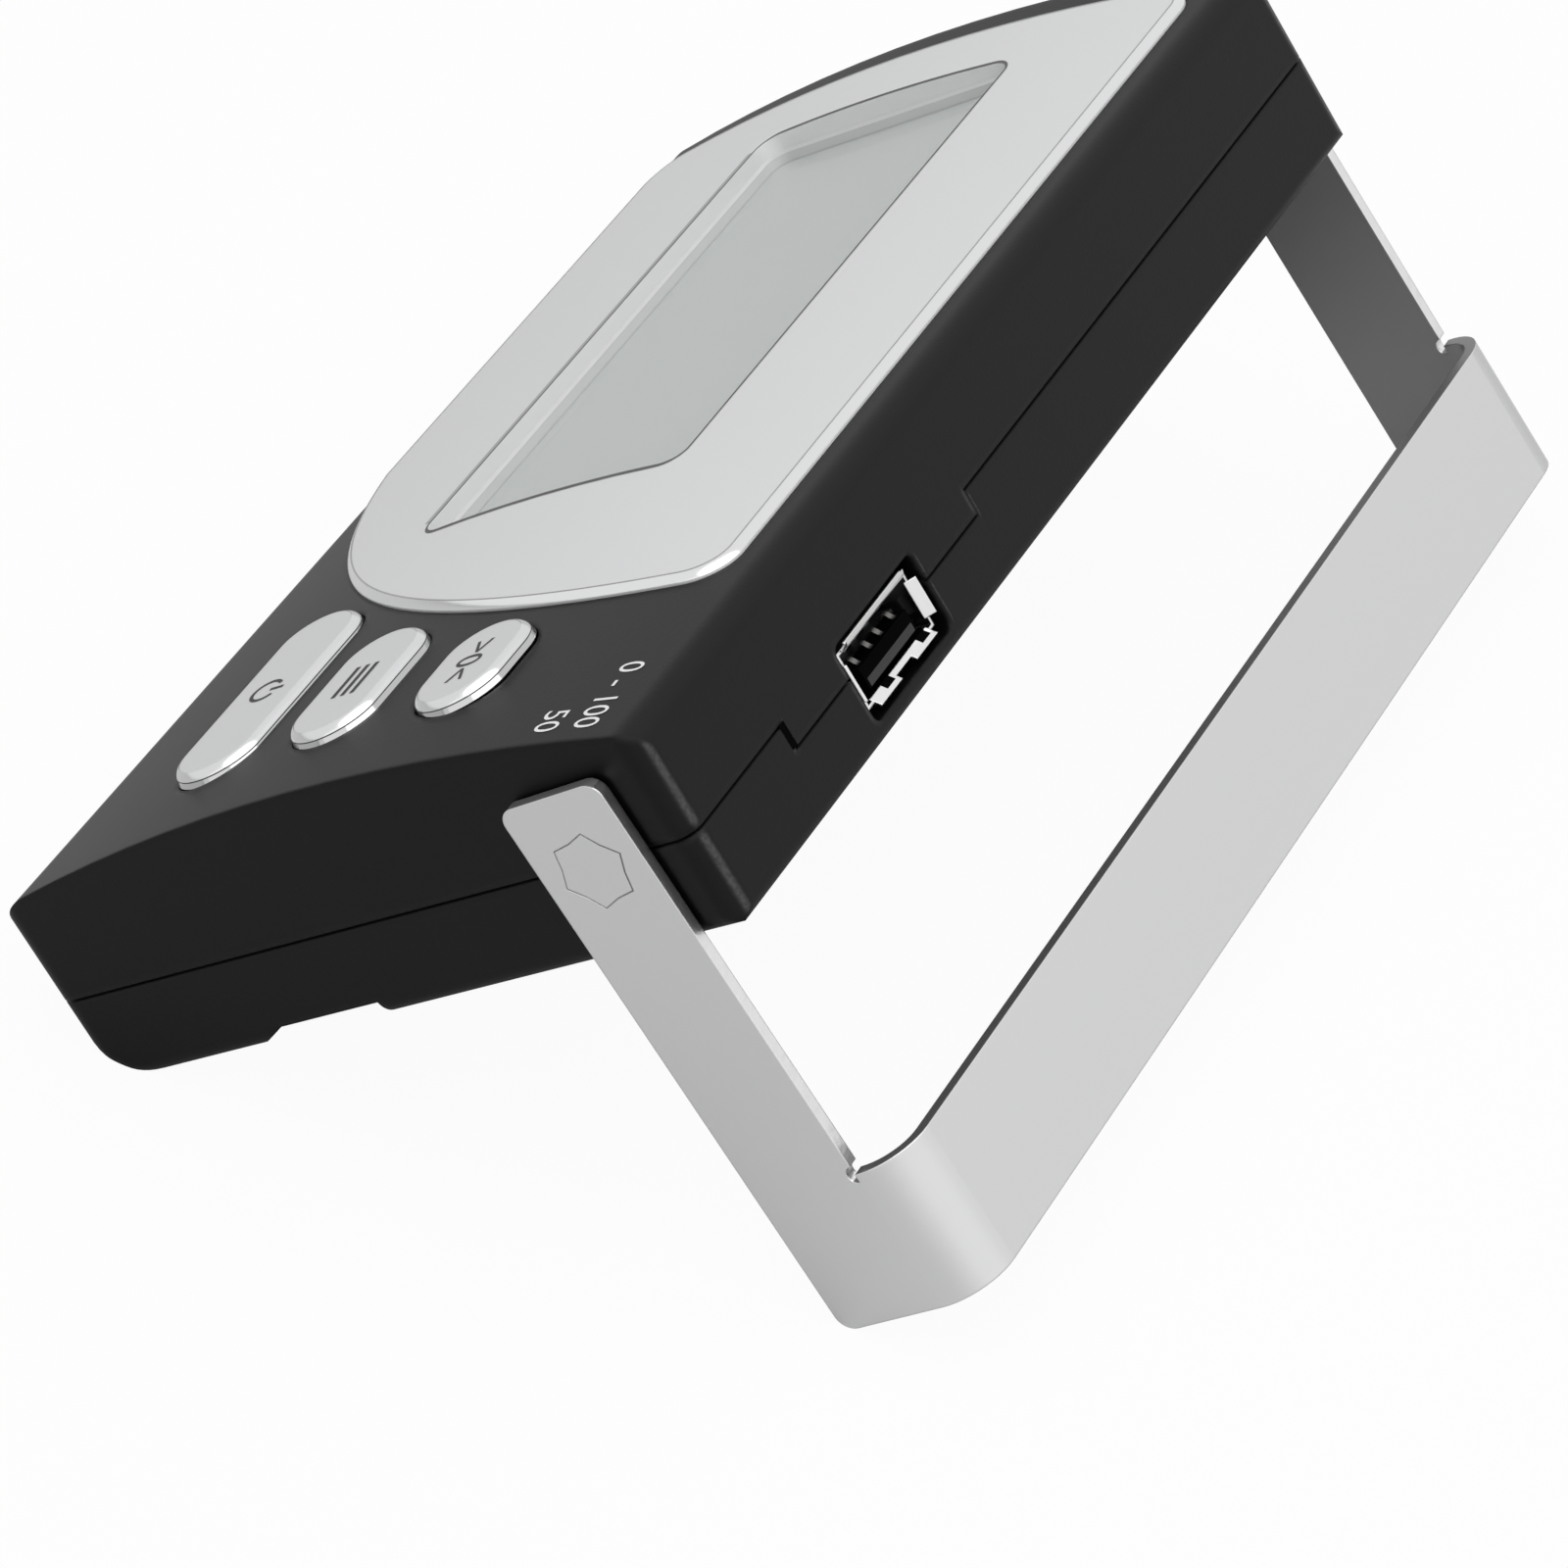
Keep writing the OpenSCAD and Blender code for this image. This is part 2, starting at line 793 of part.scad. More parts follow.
module board_components() {
    color("#3c4450")
        in_case() {
            for (i = [0:2])
                translate([cap_d * (1.4 * i - 1), board_h / 4, board_z - cap_h])
                    cylinder(d = cap_d, h = cap_h);
            for (i = [0:3])
                translate([chip_w * (0.5 * i - 3), board_h / 3, board_z - chip_h])
                    cube([chip_w / 5, chip_w / 3, chip_h]);
        }
}

module tact_switch(i) {
    color("#222224")
        in_case()
            translate([switch_x, button_y[i], board_top]) {
                translate([-switch_w / 2, -switch_w / 2, 0])
                    cube([switch_w, switch_w, switch_h]);
                cylinder(d = plunger_d, h = switch_h + plunger_h);
            }
}

module tare_switch() {
    tact_switch(0);
}

module mode_switch() {
    tact_switch(1);
}

module power_switch() {
    tact_switch(2);
}

module board_screws() {
    color("#b8bbbf")
        in_case()
            for (p = board_screw_at)
                translate([p[0], p[1], 0]) {
                    translate([0, 0, board_top])
                        cylinder(d = board_screw_head_d, h = board_screw_head_h);
                    translate([0, 0, groove_depth + wall + over])
                        cylinder(d = board_screw_d, h = board_top - groove_depth - wall);
                }
}

module case_screws() {
    color("#b8bbbf")
        in_case()
            for (p = screw_at)
                translate([p[0], p[1], screw_sink]) {
                    cylinder(d = screw_head_d, h = screw_head_h);
                    cylinder(d = screw_d, h = screw_len);
                }
}

// Buttons

module button(i) {
    y = button_y[i];
    length = button_len[i];
    middle = half_w - button_right - length / 2;
    top = face_z(y, 0) + button_raise;
    flange = face_z(abs(y) + button_h / 2 + flange_border, wall) - flange_gap;
    run = (length - button_h) / 2;
    cap_top = top - flange + flange_t;
    cap_edge = cap_top - button_chamfer;
    color("#cfd1d2")
        in_case() {
            translate([middle, y, 0]) {
                translate([0, 0, flange - flange_t])
                    linear_extrude(flange_t)
                        pill(length + 2 * flange_border, button_h + 2 * flange_border);
                // The chamfered cap is a bar with sloping top edges between two turned ends
                for (s = [-1, 1])
                    translate([s * run, 0, flange - flange_t])
                        rotate_extrude()
                            polygon([[0, 0], [button_h / 2, 0], [button_h / 2, cap_edge],
                                     [button_h / 2 - button_chamfer, cap_top], [0, cap_top]]);
                translate([0, 0, flange - flange_t])
                    along_x(2 * run)
                        polygon([[-button_h / 2, 0], [button_h / 2, 0], [button_h / 2, cap_edge],
                                 [button_h / 2 - button_chamfer, cap_top],
                                 [button_chamfer - button_h / 2, cap_top], [-button_h / 2, cap_edge]]);
            }
            translate([switch_x, y, stem_bottom])
                cylinder(d = stem_d, h = flange - stem_bottom);
        }
}

module tare_button() {
    button(0);
}

module mode_button() {
    button(1);
}

module power_button() {
    button(2);
}

// Socket

// The socket's own frame has its mouth at y = 0 and its back at negative y
module in_socket() {
    in_case()
        translate([socket_x, socket_mouth, socket_z])
            children();
}

module usb_shell() {
    color("#c6c8ca")
        in_socket() {
            rotate([90, 0, 0])
                linear_extrude(socket_depth)
                    difference() {
                        square([socket_w, socket_h], center = true);
                        square([socket_w - 2 * socket_sheet, socket_h - 2 * socket_sheet], center = true);
                    }
            for (s = [-1, 1]) {
                translate([0, 0, s * (socket_h / 2 - socket_sheet)])
                    rotate([s * lip_angle, 0, 0])
                        difference() {
                            translate([1 - socket_w / 2, -socket_sheet, s > 0 ? 0 : -socket_sheet])
                                cube([socket_w - 2, lip_len, socket_sheet]);
                            if (s < 0)
                                translate([-lip_split / 2, socket_sheet, -2 * socket_sheet])
                                    cube([lip_split, lip_len, 3 * socket_sheet]);
                        }
                translate([s * (socket_w / 2 - socket_sheet), 0, 0])
                    rotate([0, 0, -s * lip_angle])
                        translate([s > 0 ? 0 : -socket_sheet, -socket_sheet, 1 - socket_h / 2])
                            cube([socket_sheet, lip_len, socket_h - 2]);
            }
        }
}

module usb_insert() {
    inner_w = socket_w - 2 * socket_sheet;
    inner_h = socket_h - 2 * socket_sheet;
    color("#1b1b1c")
        in_socket() {
            translate([-inner_w / 2, -socket_depth, -inner_h / 2])
                cube([inner_w, socket_block, inner_h]);
            translate([-tongue_w / 2, socket_block - socket_depth, -tongue_drop - tongue_t / 2])
                cube([tongue_w, tongue_len, tongue_t]);
        }
}

module usb_contacts() {
    color("#d8b25a")
        in_socket()
            for (s = [-1, 1], x = [contact_inner / 2, contact_inner / 2 + contact_outer])
                translate([s * x - contact_w / 2, socket_block - socket_depth, tongue_t / 2 - tongue_drop])
                    cube([contact_w, contact_len, contact_t]);
}

// Stand

module star(gap) {
    rotate(star_turn)
        polygon([for (i = [0:11])
                 let (r = (i % 2 == 0 ? star_point : star_hollow) + gap)
                 [r * cos(30 * i), r * sin(30 * i)]]);
}

// An arm, drawn across its width and along its length
module arm_outline() {
    difference() {
        translate([-arm_w / 2, -arm_rear])
            square([arm_w, arm_rear + arm_front]);
        translate([-arm_w / 2, -arm_rear])
            corner_waste(foot_r);
        translate([-arm_w / 2, arm_front])
            rotate(-90)
                corner_waste(arm_r);
        translate([arm_w / 2, arm_front])
            rotate(180)
                corner_waste(arm_r);
        translate([arm_w / 2, bar_w - arm_rear])
            circle(relief_r);
        star(star_gap);
    }
}

// The crossbar with its two bends, drawn from above
module bar_outline() {
    flat = stand_x - bend_r;
    translate([-flat, bar_inner])
        square([2 * flat, sheet]);
    for (s = [-1, 1])
        intersection() {
            translate([s * flat, arm_w / 2])
                ring(2 * bend_r, 2 * (bend_r - sheet));
            translate([s > 0 ? flat : -flat - bend_r, arm_w / 2])
                square(bend_r);
        }
}

module stand_bracket() {
    color("#b4b7ba")
        in_stand() {
            for (s = [-1, 1])
                translate([s * (arm_x + sheet / 2), 0, 0])
                    along_x(sheet)
                        arm_outline();
            translate([0, 0, -arm_rear])
                linear_extrude(bar_w)
                    bar_outline();
        }
}

module pivot_pin(side) {
    shank = stand_x - sheet - collar_x;
    color("#b0b3b6")
        in_stand()
            mirror([side < 0 ? 1 : 0, 0, 0]) {
                translate([arm_x + sheet / 2, 0, 0])
                    along_x(sheet)
                        star(0);
                translate([collar_x + shank / 2, 0, 0])
                    along_x(shank)
                        circle(d = pivot_d);
                translate([collar_x - collar_t / 2, 0, 0])
                    along_x(collar_t)
                        circle(d = collar_d);
            }
}

module right_pivot_pin() {
    pivot_pin(1);
}

module left_pivot_pin() {
    pivot_pin(-1);
}

module washer(side) {
    color("#8d9094")
        in_case()
            translate([side * (half_w - wall - washer_t / 2), pivot_y, seam_z])
                along_x(washer_t)
                    ring(collar_d, pivot_d + 2 * pivot_gap);
}

module right_washer() {
    washer(1);
}

module left_washer() {
    washer(-1);
}

front_shell();
rear_shell();
display_bezel();
display_window();
window_gasket();
lcd_glass();
lcd_holder();
backlight_panel();
upper_contact_strip();
lower_contact_strip();
main_board();
controller_chip();
board_components();
tare_switch();
mode_switch();
power_switch();
tare_button();
mode_button();
power_button();
usb_shell();
usb_insert();
usb_contacts();
board_screws();
case_screws();
stand_bracket();
right_pivot_pin();
left_pivot_pin();
right_washer();
left_washer();
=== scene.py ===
import json
import math

import bpy
import numpy as np
from mathutils import Matrix, Vector


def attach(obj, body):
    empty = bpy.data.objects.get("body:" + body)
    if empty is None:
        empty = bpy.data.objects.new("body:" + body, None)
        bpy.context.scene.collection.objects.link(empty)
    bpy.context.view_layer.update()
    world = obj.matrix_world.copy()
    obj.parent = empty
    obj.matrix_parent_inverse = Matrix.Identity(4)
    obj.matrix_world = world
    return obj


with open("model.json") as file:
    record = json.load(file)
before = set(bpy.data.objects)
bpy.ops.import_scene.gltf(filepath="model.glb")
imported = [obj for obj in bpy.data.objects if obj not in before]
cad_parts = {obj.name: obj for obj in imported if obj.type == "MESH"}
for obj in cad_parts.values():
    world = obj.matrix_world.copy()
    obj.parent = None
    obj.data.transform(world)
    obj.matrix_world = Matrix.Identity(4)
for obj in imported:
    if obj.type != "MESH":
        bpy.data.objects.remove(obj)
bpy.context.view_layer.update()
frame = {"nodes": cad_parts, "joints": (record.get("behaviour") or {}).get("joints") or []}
nodes = frame["nodes"]
print("stage: frame loaded")


# The case's own frame: x and y from the middle of its back, z from the back outwards. The keys' travel gives its
# directions, and the hinge line its place
joints = {joint["name"]: joint for joint in frame["joints"]}
inward = Vector(joints["tare_key_press"]["axis"])
outward = -inward
upward = outward.cross(Vector((1, 0, 0)))
case = {
    "height": 0.074,
    "edgeThickness": 0.019,
    "crown": 0.0034,
    "pivotFromTop": 0.0098,
    "pivotFromBack": 0.009,
}
case["crownRadius"] = ((case["height"] / 2) ** 2 + case["crown"] ** 2) / (2 * case["crown"])
case["crownCentre"] = case["edgeThickness"] + case["crown"] - case["crownRadius"]
pivot = Vector(joints["stand_hinge"]["pos_m"])
caseOrigin = pivot - upward * (case["height"] / 2 - case["pivotFromTop"]) - outward * case["pivotFromBack"]
caseAxes = np.array([(1, 0, 0), tuple(upward), tuple(outward)])


# Points in the case's frame, as an array in the row frame
def casePoints(points):
    return np.asarray(points, dtype=float) @ caseAxes + np.array(caseOrigin)


# Points in the row frame, as an array in the case's frame
def fromRow(points):
    return (points - np.array(caseOrigin)) @ caseAxes.T


# The corners of a mesh, as an array
def meshPoints(mesh):
    points = np.empty(3 * len(mesh.vertices), dtype=np.float32)
    mesh.vertices.foreach_get("co", points)
    return points.reshape(-1, 3).astype(float)


# The height of the arched face over the back, or of an arch over it: a circle's arc across y
def faceHeight(y, lift=0.0):
    return case["crownCentre"] + np.sqrt((case["crownRadius"] + lift) ** 2 - y * y)


def newMaterial(name):
    material = bpy.data.materials.new(name)
    material.use_nodes = True
    return material, material.node_tree.nodes["Principled BSDF"]


def plainMaterial(name, colour, roughness, specular=0.5):
    material, shader = newMaterial(name)
    shader.inputs["Base Color"].default_value = (*colour, 1)
    shader.inputs["Roughness"].default_value = roughness
    shader.inputs["Specular IOR Level"].default_value = specular
    return material


def addNode(tree, kind, inputs=None, **settings):
    node = tree.nodes.new(kind)
    for key, value in settings.items():
        setattr(node, key, value)
    for key, value in (inputs or {}).items():
        node.inputs[key].default_value = value
    return node


# Grain of a surface. Normal: rounded edges under a fine bump. Side: faces that turn away from the front.
# Its last output marks where a painted highlight goes: the roundings between the upper side and both ends,
# made patchy by the same noise
surfaceGrain = {
    "noiseDetail": 3.0,
    "noiseRoughness": 0.6,
    "bevelSamples": 6,
    "bumpDistance": 0.0001,
    "sideFrom": 0.97,
    "sideFull": 0.9,
    "cornerLean": math.radians(20),
    "cornerFrom": 0.975,
    "cornerFull": 0.998,
}


def makeGrainGroup(look):
    group = bpy.data.node_groups.new("surfaceGrain", "ShaderNodeTree")
    sockets = group.interface
    for label in ("Scale", "Strength", "Radius"):
        sockets.new_socket(label, in_out="INPUT", socket_type="NodeSocketFloat")
    sockets.new_socket("Normal", in_out="OUTPUT", socket_type="NodeSocketVector")
    sockets.new_socket("Side", in_out="OUTPUT", socket_type="NodeSocketFloat")
    sockets.new_socket("CornerHighlight", in_out="OUTPUT", socket_type="NodeSocketFloat")
    entry = group.nodes.new("NodeGroupInput")
    leave = group.nodes.new("NodeGroupOutput")
    place = group.nodes.new("ShaderNodeTexCoord")
    noise = addNode(group, "ShaderNodeTexNoise")
    noise.inputs["Detail"].default_value = look["noiseDetail"]
    noise.inputs["Roughness"].default_value = look["noiseRoughness"]
    bevel = addNode(group, "ShaderNodeBevel", samples=look["bevelSamples"])
    bump = addNode(group, "ShaderNodeBump", {"Distance": look["bumpDistance"]})
    link = group.links.new
    link(place.outputs["Object"], noise.inputs["Vector"])
    link(entry.outputs["Scale"], noise.inputs["Scale"])
    link(entry.outputs["Radius"], bevel.inputs["Radius"])
    link(entry.outputs["Strength"], bump.inputs["Strength"])
    link(noise.outputs["Fac"], bump.inputs["Height"])
    link(bevel.outputs["Normal"], bump.inputs["Normal"])
    link(bump.outputs["Normal"], leave.inputs["Normal"])
    shape = group.nodes.new("ShaderNodeNewGeometry")
    facing = addNode(group, "ShaderNodeVectorMath", operation="DOT_PRODUCT")
    facing.inputs[1].default_value = tuple(outward)
    side = addNode(group, "ShaderNodeMapRange", {"From Min": look["sideFrom"], "From Max": look["sideFull"]})
    link(shape.outputs["Normal"], facing.inputs[0])
    link(facing.outputs["Value"], side.inputs["Value"])
    link(side.outputs["Result"], leave.inputs["Side"])
    # The mask of a painted highlight on the case's corners
    lean = look["cornerLean"]
    rise = addNode(group, "ShaderNodeVectorMath", operation="DOT_PRODUCT")
    rise.inputs[1].default_value = tuple(upward * math.cos(lean))
    parts = group.nodes.new("ShaderNodeSeparateXYZ")
    sideways = addNode(group, "ShaderNodeMath", operation="ABSOLUTE")
    both = addNode(group, "ShaderNodeMath", {1: math.sin(lean)}, operation="MULTIPLY_ADD")
    band = addNode(group, "ShaderNodeMapRange", {"From Min": look["cornerFrom"], "From Max": look["cornerFull"]})
    patchy = addNode(group, "ShaderNodeMath", operation="MULTIPLY")
    link(bevel.outputs["Normal"], rise.inputs[0])
    link(bevel.outputs["Normal"], parts.inputs[0])
    link(parts.outputs["X"], sideways.inputs[0])
    link(sideways.outputs[0], both.inputs[0])
    link(rise.outputs["Value"], both.inputs[2])
    link(both.outputs[0], band.inputs["Value"])
    link(band.outputs["Result"], patchy.inputs[0])
    link(noise.outputs["Fac"], patchy.inputs[1])
    link(patchy.outputs[0], leave.inputs["CornerHighlight"])
    return group


grainGroup = makeGrainGroup(surfaceGrain)


# Masks of the stand's sheet, in its own coordinates. End: faces that look along the arms. Edge: faces across an
# arm's plane. The last mask marks faces that look towards the middle, where a painted shade goes
sheetEdge = {
    "armTurn": math.radians(2.1),
    "endFacing": 0.7,
    "edgeFacing": 0.5,
    "armFrom": 0.0648,
    "innerBelow": -0.02,
}


def makeEdgeGroup(look):
    group = bpy.data.node_groups.new("sheetEdge", "ShaderNodeTree")
    for label in ("End", "Edge", "Inner"):
        group.interface.new_socket(label, in_out="OUTPUT", socket_type="NodeSocketFloat")
    leave = group.nodes.new("NodeGroupOutput")
    place = group.nodes.new("ShaderNodeTexCoord")
    along = addNode(group, "ShaderNodeVectorMath", operation="DOT_PRODUCT")
    along.inputs[1].default_value = tuple(Matrix.Rotation(look["armTurn"], 3, "X") @ outward)
    alongSize = addNode(group, "ShaderNodeMath", operation="ABSOLUTE")
    ends = addNode(group, "ShaderNodeMath", {1: look["endFacing"]}, operation="GREATER_THAN")
    normal = group.nodes.new("ShaderNodeSeparateXYZ")
    normalSize = addNode(group, "ShaderNodeMath", operation="ABSOLUTE")
    across = addNode(group, "ShaderNodeMath", {1: look["edgeFacing"]}, operation="LESS_THAN")
    spot = group.nodes.new("ShaderNodeSeparateXYZ")
    spotSize = addNode(group, "ShaderNodeMath", operation="ABSOLUTE")
    arm = addNode(group, "ShaderNodeMath", {1: look["armFrom"]}, operation="GREATER_THAN")
    edge = addNode(group, "ShaderNodeMath", operation="MULTIPLY")
    facing = addNode(group, "ShaderNodeMath", operation="MULTIPLY")
    inner = addNode(group, "ShaderNodeMath", {1: look["innerBelow"]}, operation="LESS_THAN")
    link = group.links.new
    link(normal.outputs["X"], facing.inputs[0])
    link(spot.outputs["X"], facing.inputs[1])
    link(facing.outputs[0], inner.inputs[0])
    link(inner.outputs[0], leave.inputs["Inner"])
    link(place.outputs["Normal"], along.inputs[0])
    link(along.outputs["Value"], alongSize.inputs[0])
    link(alongSize.outputs[0], ends.inputs[0])
    link(place.outputs["Normal"], normal.inputs[0])
    link(normal.outputs["X"], normalSize.inputs[0])
    link(normalSize.outputs[0], across.inputs[0])
    link(place.outputs["Object"], spot.inputs[0])
    link(spot.outputs["X"], spotSize.inputs[0])
    link(spotSize.outputs[0], arm.inputs[0])
    link(across.outputs[0], edge.inputs[0])
    link(arm.outputs[0], edge.inputs[1])
    link(ends.outputs[0], leave.inputs["End"])
    link(edge.outputs[0], leave.inputs["Edge"])
    return group


edgeGroup = makeEdgeGroup(sheetEdge)


# A grained finish, with a painted highlight on its corners or polished sides where its dictionary asks for them
def grainMaterial(look):
    material = plainMaterial(look["name"], look["colour"], look["roughness"], look.get("specular", 0.5))
    tree = material.node_tree
    shader = tree.nodes["Principled BSDF"]
    shader.inputs["Metallic"].default_value = look.get("metallic", 0.0)
    grain = addNode(tree, "ShaderNodeGroup", node_tree=grainGroup)
    grain.inputs["Scale"].default_value = look["grainScale"]
    grain.inputs["Strength"].default_value = look["grainStrength"]
    grain.inputs["Radius"].default_value = look["edgeRadius"]
    tree.links.new(grain.outputs["Normal"], shader.inputs["Normal"])
    # A painted highlight: a paler colour mixed in where the corner mask lies
    if "cornerHighlightColour" in look:
        tint = addNode(tree, "ShaderNodeMix", data_type="RGBA")
        tint.inputs["A"].default_value = (*look["colour"], 1)
        tint.inputs["B"].default_value = (*look["cornerHighlightColour"], 1)
        tree.links.new(grain.outputs["CornerHighlight"], tint.inputs["Factor"])
        tree.links.new(tint.outputs["Result"], shader.inputs["Base Color"])
    if "sideRoughness" in look:
        soften = addNode(tree, "ShaderNodeMapRange")
        soften.inputs["To Min"].default_value = look["roughness"]
        soften.inputs["To Max"].default_value = look["sideRoughness"]
        shine = addNode(tree, "ShaderNodeMapRange")
        shine.inputs["To Min"].default_value = look["metallic"]
        shine.inputs["To Max"].default_value = look["sideMetallic"]
        tree.links.new(grain.outputs["Side"], soften.inputs["Value"])
        tree.links.new(grain.outputs["Side"], shine.inputs["Value"])
        tree.links.new(soften.outputs["Result"], shader.inputs["Roughness"])
        tree.links.new(shine.outputs["Result"], shader.inputs["Metallic"])
    return material


def paint(material, *names):
    for name in names:
        mesh = nodes[name].data
        mesh.materials.clear()
        mesh.materials.append(material)


# Case: black moulded plastic with a fine spark-eroded texture, and a paler painted highlight on the roundings
# between its upper side and both ends
casePlastic = {
    "name": "casePlastic",
    "colour": (0.0018, 0.0018, 0.0019),
    "cornerHighlightColour": (0.12, 0.12, 0.12),
    "roughness": 0.4,
    "specular": 0.17,
    "grainScale": 2600.0,
    "grainStrength": 0.12,
    "edgeRadius": 0.0009,
}
paint(grainMaterial(casePlastic), "front_shell", "rear_shell")

# Bezel: satin silver paint
silverPaint = {
    "name": "silverPaint",
    "colour": (0.715, 0.72, 0.725),
    "roughness": 0.42,
    "metallic": 0.25,
    "grainScale": 3200.0,
    "grainStrength": 0.06,
    "edgeRadius": 0.0002,
}
paint(grainMaterial(silverPaint), "display_bezel")

# Keys: the same paint, a little darker, polished on their sloping rims
keySilver = dict(silverPaint, name="keySilver", colour=(0.66, 0.665, 0.67), edgeRadius=0.0003,
                 sideRoughness=0.1, sideMetallic=1.0)
paint(grainMaterial(keySilver), "tare_button", "mode_button", "power_button")

# Polished rim of the bezel
rimSilver = dict(silverPaint, name="rimSilver", colour=(0.72, 0.725, 0.73), roughness=0.14, metallic=1.0,
                 grainStrength=0.02)

# Dark inner plastic
innerPlastic = {
    "name": "innerPlastic",
    "colour": (0.006, 0.006, 0.0063),
    "roughness": 0.5,
    "grainScale": 2000.0,
    "grainStrength": 0.05,
    "edgeRadius": 0.0002,
}
paint(grainMaterial(innerPlastic), "upper_contact_strip", "lower_contact_strip",
      "controller_chip", "board_components", "tare_switch", "mode_switch", "power_switch", "usb_insert")

# Grey foam under the window
gasketFoam = dict(innerPlastic, name="gasketFoam", colour=(0.5, 0.5, 0.5), roughness=0.8)
paint(grainMaterial(gasketFoam), "window_gasket")

# White holder and light panel
holderPlastic = dict(innerPlastic, name="holderPlastic", colour=(0.75, 0.75, 0.72))
paint(grainMaterial(holderPlastic), "lcd_holder", "backlight_panel")

# Circuit board
boardMask = dict(innerPlastic, name="boardMask", colour=(0.008, 0.014, 0.01), roughness=0.35)
paint(grainMaterial(boardMask), "main_board")

# Bright steel of the socket, screws and washers
brightSteel = {
    "name": "brightSteel",
    "colour": (0.78, 0.78, 0.78),
    "roughness": 0.2,
    "metallic": 1.0,
    "grainScale": 1500.0,
    "grainStrength": 0.03,
    "edgeRadius": 0.00015,
}
steelMaterial = grainMaterial(brightSteel)
paint(steelMaterial, "usb_shell", "board_screws", "case_screws", "right_washer", "left_washer")

# Plated contacts
contactPlating = dict(brightSteel, name="contactPlating", colour=(0.25, 0.245, 0.235), roughness=0.35)
contactMaterial = grainMaterial(contactPlating)
paint(contactMaterial, "usb_contacts")

# Stand: satin nickel-plated sheet with pitted edges, paler along the arms, darker at their ends and along the bar.
# The arms' inner faces carry a painted shade, a darker colour
standSteel = {
    "name": "standSteel",
    "colour": (0.67, 0.672, 0.675),
    "edgeColour": (0.76, 0.76, 0.762),
    "endColour": (0.26, 0.26, 0.262),
    "innerShadeColour": (0.34, 0.34, 0.342),
    "roughness": 0.3,
    "edgeRoughness": 0.28,
    "endRoughness": 0.55,
    "metallic": 1.0,
    "grainScale": 700.0,
    "grainStrength": 0.04,
    "edgeGrain": 0.6,
    "edgeRadius": 0.0002,
}


def makeStandMaterial(look):
    material = grainMaterial(look)
    tree = material.node_tree
    shader = tree.nodes["Principled BSDF"]
    grain = next(node for node in tree.nodes if node.type == "GROUP")
    edge = addNode(tree, "ShaderNodeGroup", node_tree=edgeGroup)
    tint = addNode(tree, "ShaderNodeMix", data_type="RGBA")
    tint.inputs["A"].default_value = (*look["colour"], 1)
    tint.inputs["B"].default_value = (*look["edgeColour"], 1)
    dark = addNode(tree, "ShaderNodeMix", data_type="RGBA")
    dark.inputs["B"].default_value = (*look["endColour"], 1)
    cut = addNode(tree, "ShaderNodeMath", operation="MAXIMUM")
    # Painted shade on the arms' inner faces: a darker colour mixed in by the inner mask
    inside = addNode(tree, "ShaderNodeMix", data_type="RGBA")
    inside.inputs["B"].default_value = (*look["innerShadeColour"], 1)
    rough = addNode(tree, "ShaderNodeMapRange", {"To Min": look["roughness"], "To Max": look["edgeRoughness"]})
    roughEnd = addNode(tree, "ShaderNodeMix", {"B": look["endRoughness"]}, data_type="FLOAT")
    pit = addNode(tree, "ShaderNodeMapRange", {"To Min": look["grainStrength"], "To Max": look["edgeGrain"]})
    link = tree.links.new
    link(edge.outputs["Edge"], tint.inputs["Factor"])
    link(edge.outputs["End"], dark.inputs["Factor"])
    link(edge.outputs["Edge"], cut.inputs[0])
    link(edge.outputs["End"], cut.inputs[1])
    link(edge.outputs["Edge"], rough.inputs["Value"])
    link(edge.outputs["End"], roughEnd.inputs["Factor"])
    link(rough.outputs["Result"], roughEnd.inputs["A"])
    link(cut.outputs[0], pit.inputs["Value"])
    link(edge.outputs["Inner"], inside.inputs["Factor"])
    link(tint.outputs["Result"], dark.inputs["A"])
    link(dark.outputs["Result"], inside.inputs["A"])
    link(inside.outputs["Result"], shader.inputs["Base Color"])
    link(roughEnd.outputs["Result"], shader.inputs["Roughness"])
    link(pit.outputs["Result"], grain.inputs["Strength"])
    return material


paint(makeStandMaterial(standSteel), "stand_bracket")
pinSteel = dict(standSteel, name="pinSteel")
paint(grainMaterial(pinSteel), "right_pivot_pin", "left_pivot_pin")

# Liquid-crystal glass: an even grey
paint(plainMaterial("lcdGrey", (0.72, 0.725, 0.72), 0.35), "lcd_glass")

# Window plate: clear, thin, nearly no tint, with gloss on its outer faces alone
windowClear = {"tint": (0.95, 0.96, 0.955), "roughness": 0.08, "refraction": 1.3}


def makeWindowMaterial(look):
    material, shader = newMaterial("windowClear")
    tree = material.node_tree
    clear = addNode(tree, "ShaderNodeBsdfTransparent", {"Color": (*look["tint"], 1)})
    gloss = addNode(tree, "ShaderNodeBsdfGlossy", {"Roughness": look["roughness"]})
    edge = addNode(tree, "ShaderNodeFresnel", {"IOR": look["refraction"]})
    shape = tree.nodes.new("ShaderNodeNewGeometry")
    front = addNode(tree, "ShaderNodeMath", {0: 1.0}, operation="SUBTRACT")
    shown = addNode(tree, "ShaderNodeMath", operation="MULTIPLY")
    mix = tree.nodes.new("ShaderNodeMixShader")
    link = tree.links.new
    link(shape.outputs["Backfacing"], front.inputs[1])
    link(front.outputs[0], shown.inputs[0])
    link(edge.outputs["Fac"], shown.inputs[1])
    link(shown.outputs[0], mix.inputs["Fac"])
    link(clear.outputs["BSDF"], mix.inputs[1])
    link(gloss.outputs["BSDF"], mix.inputs[2])
    link(mix.outputs["Shader"], tree.nodes["Material Output"].inputs["Surface"])
    tree.nodes.remove(shader)
    return material


paint(makeWindowMaterial(windowClear), "display_window")

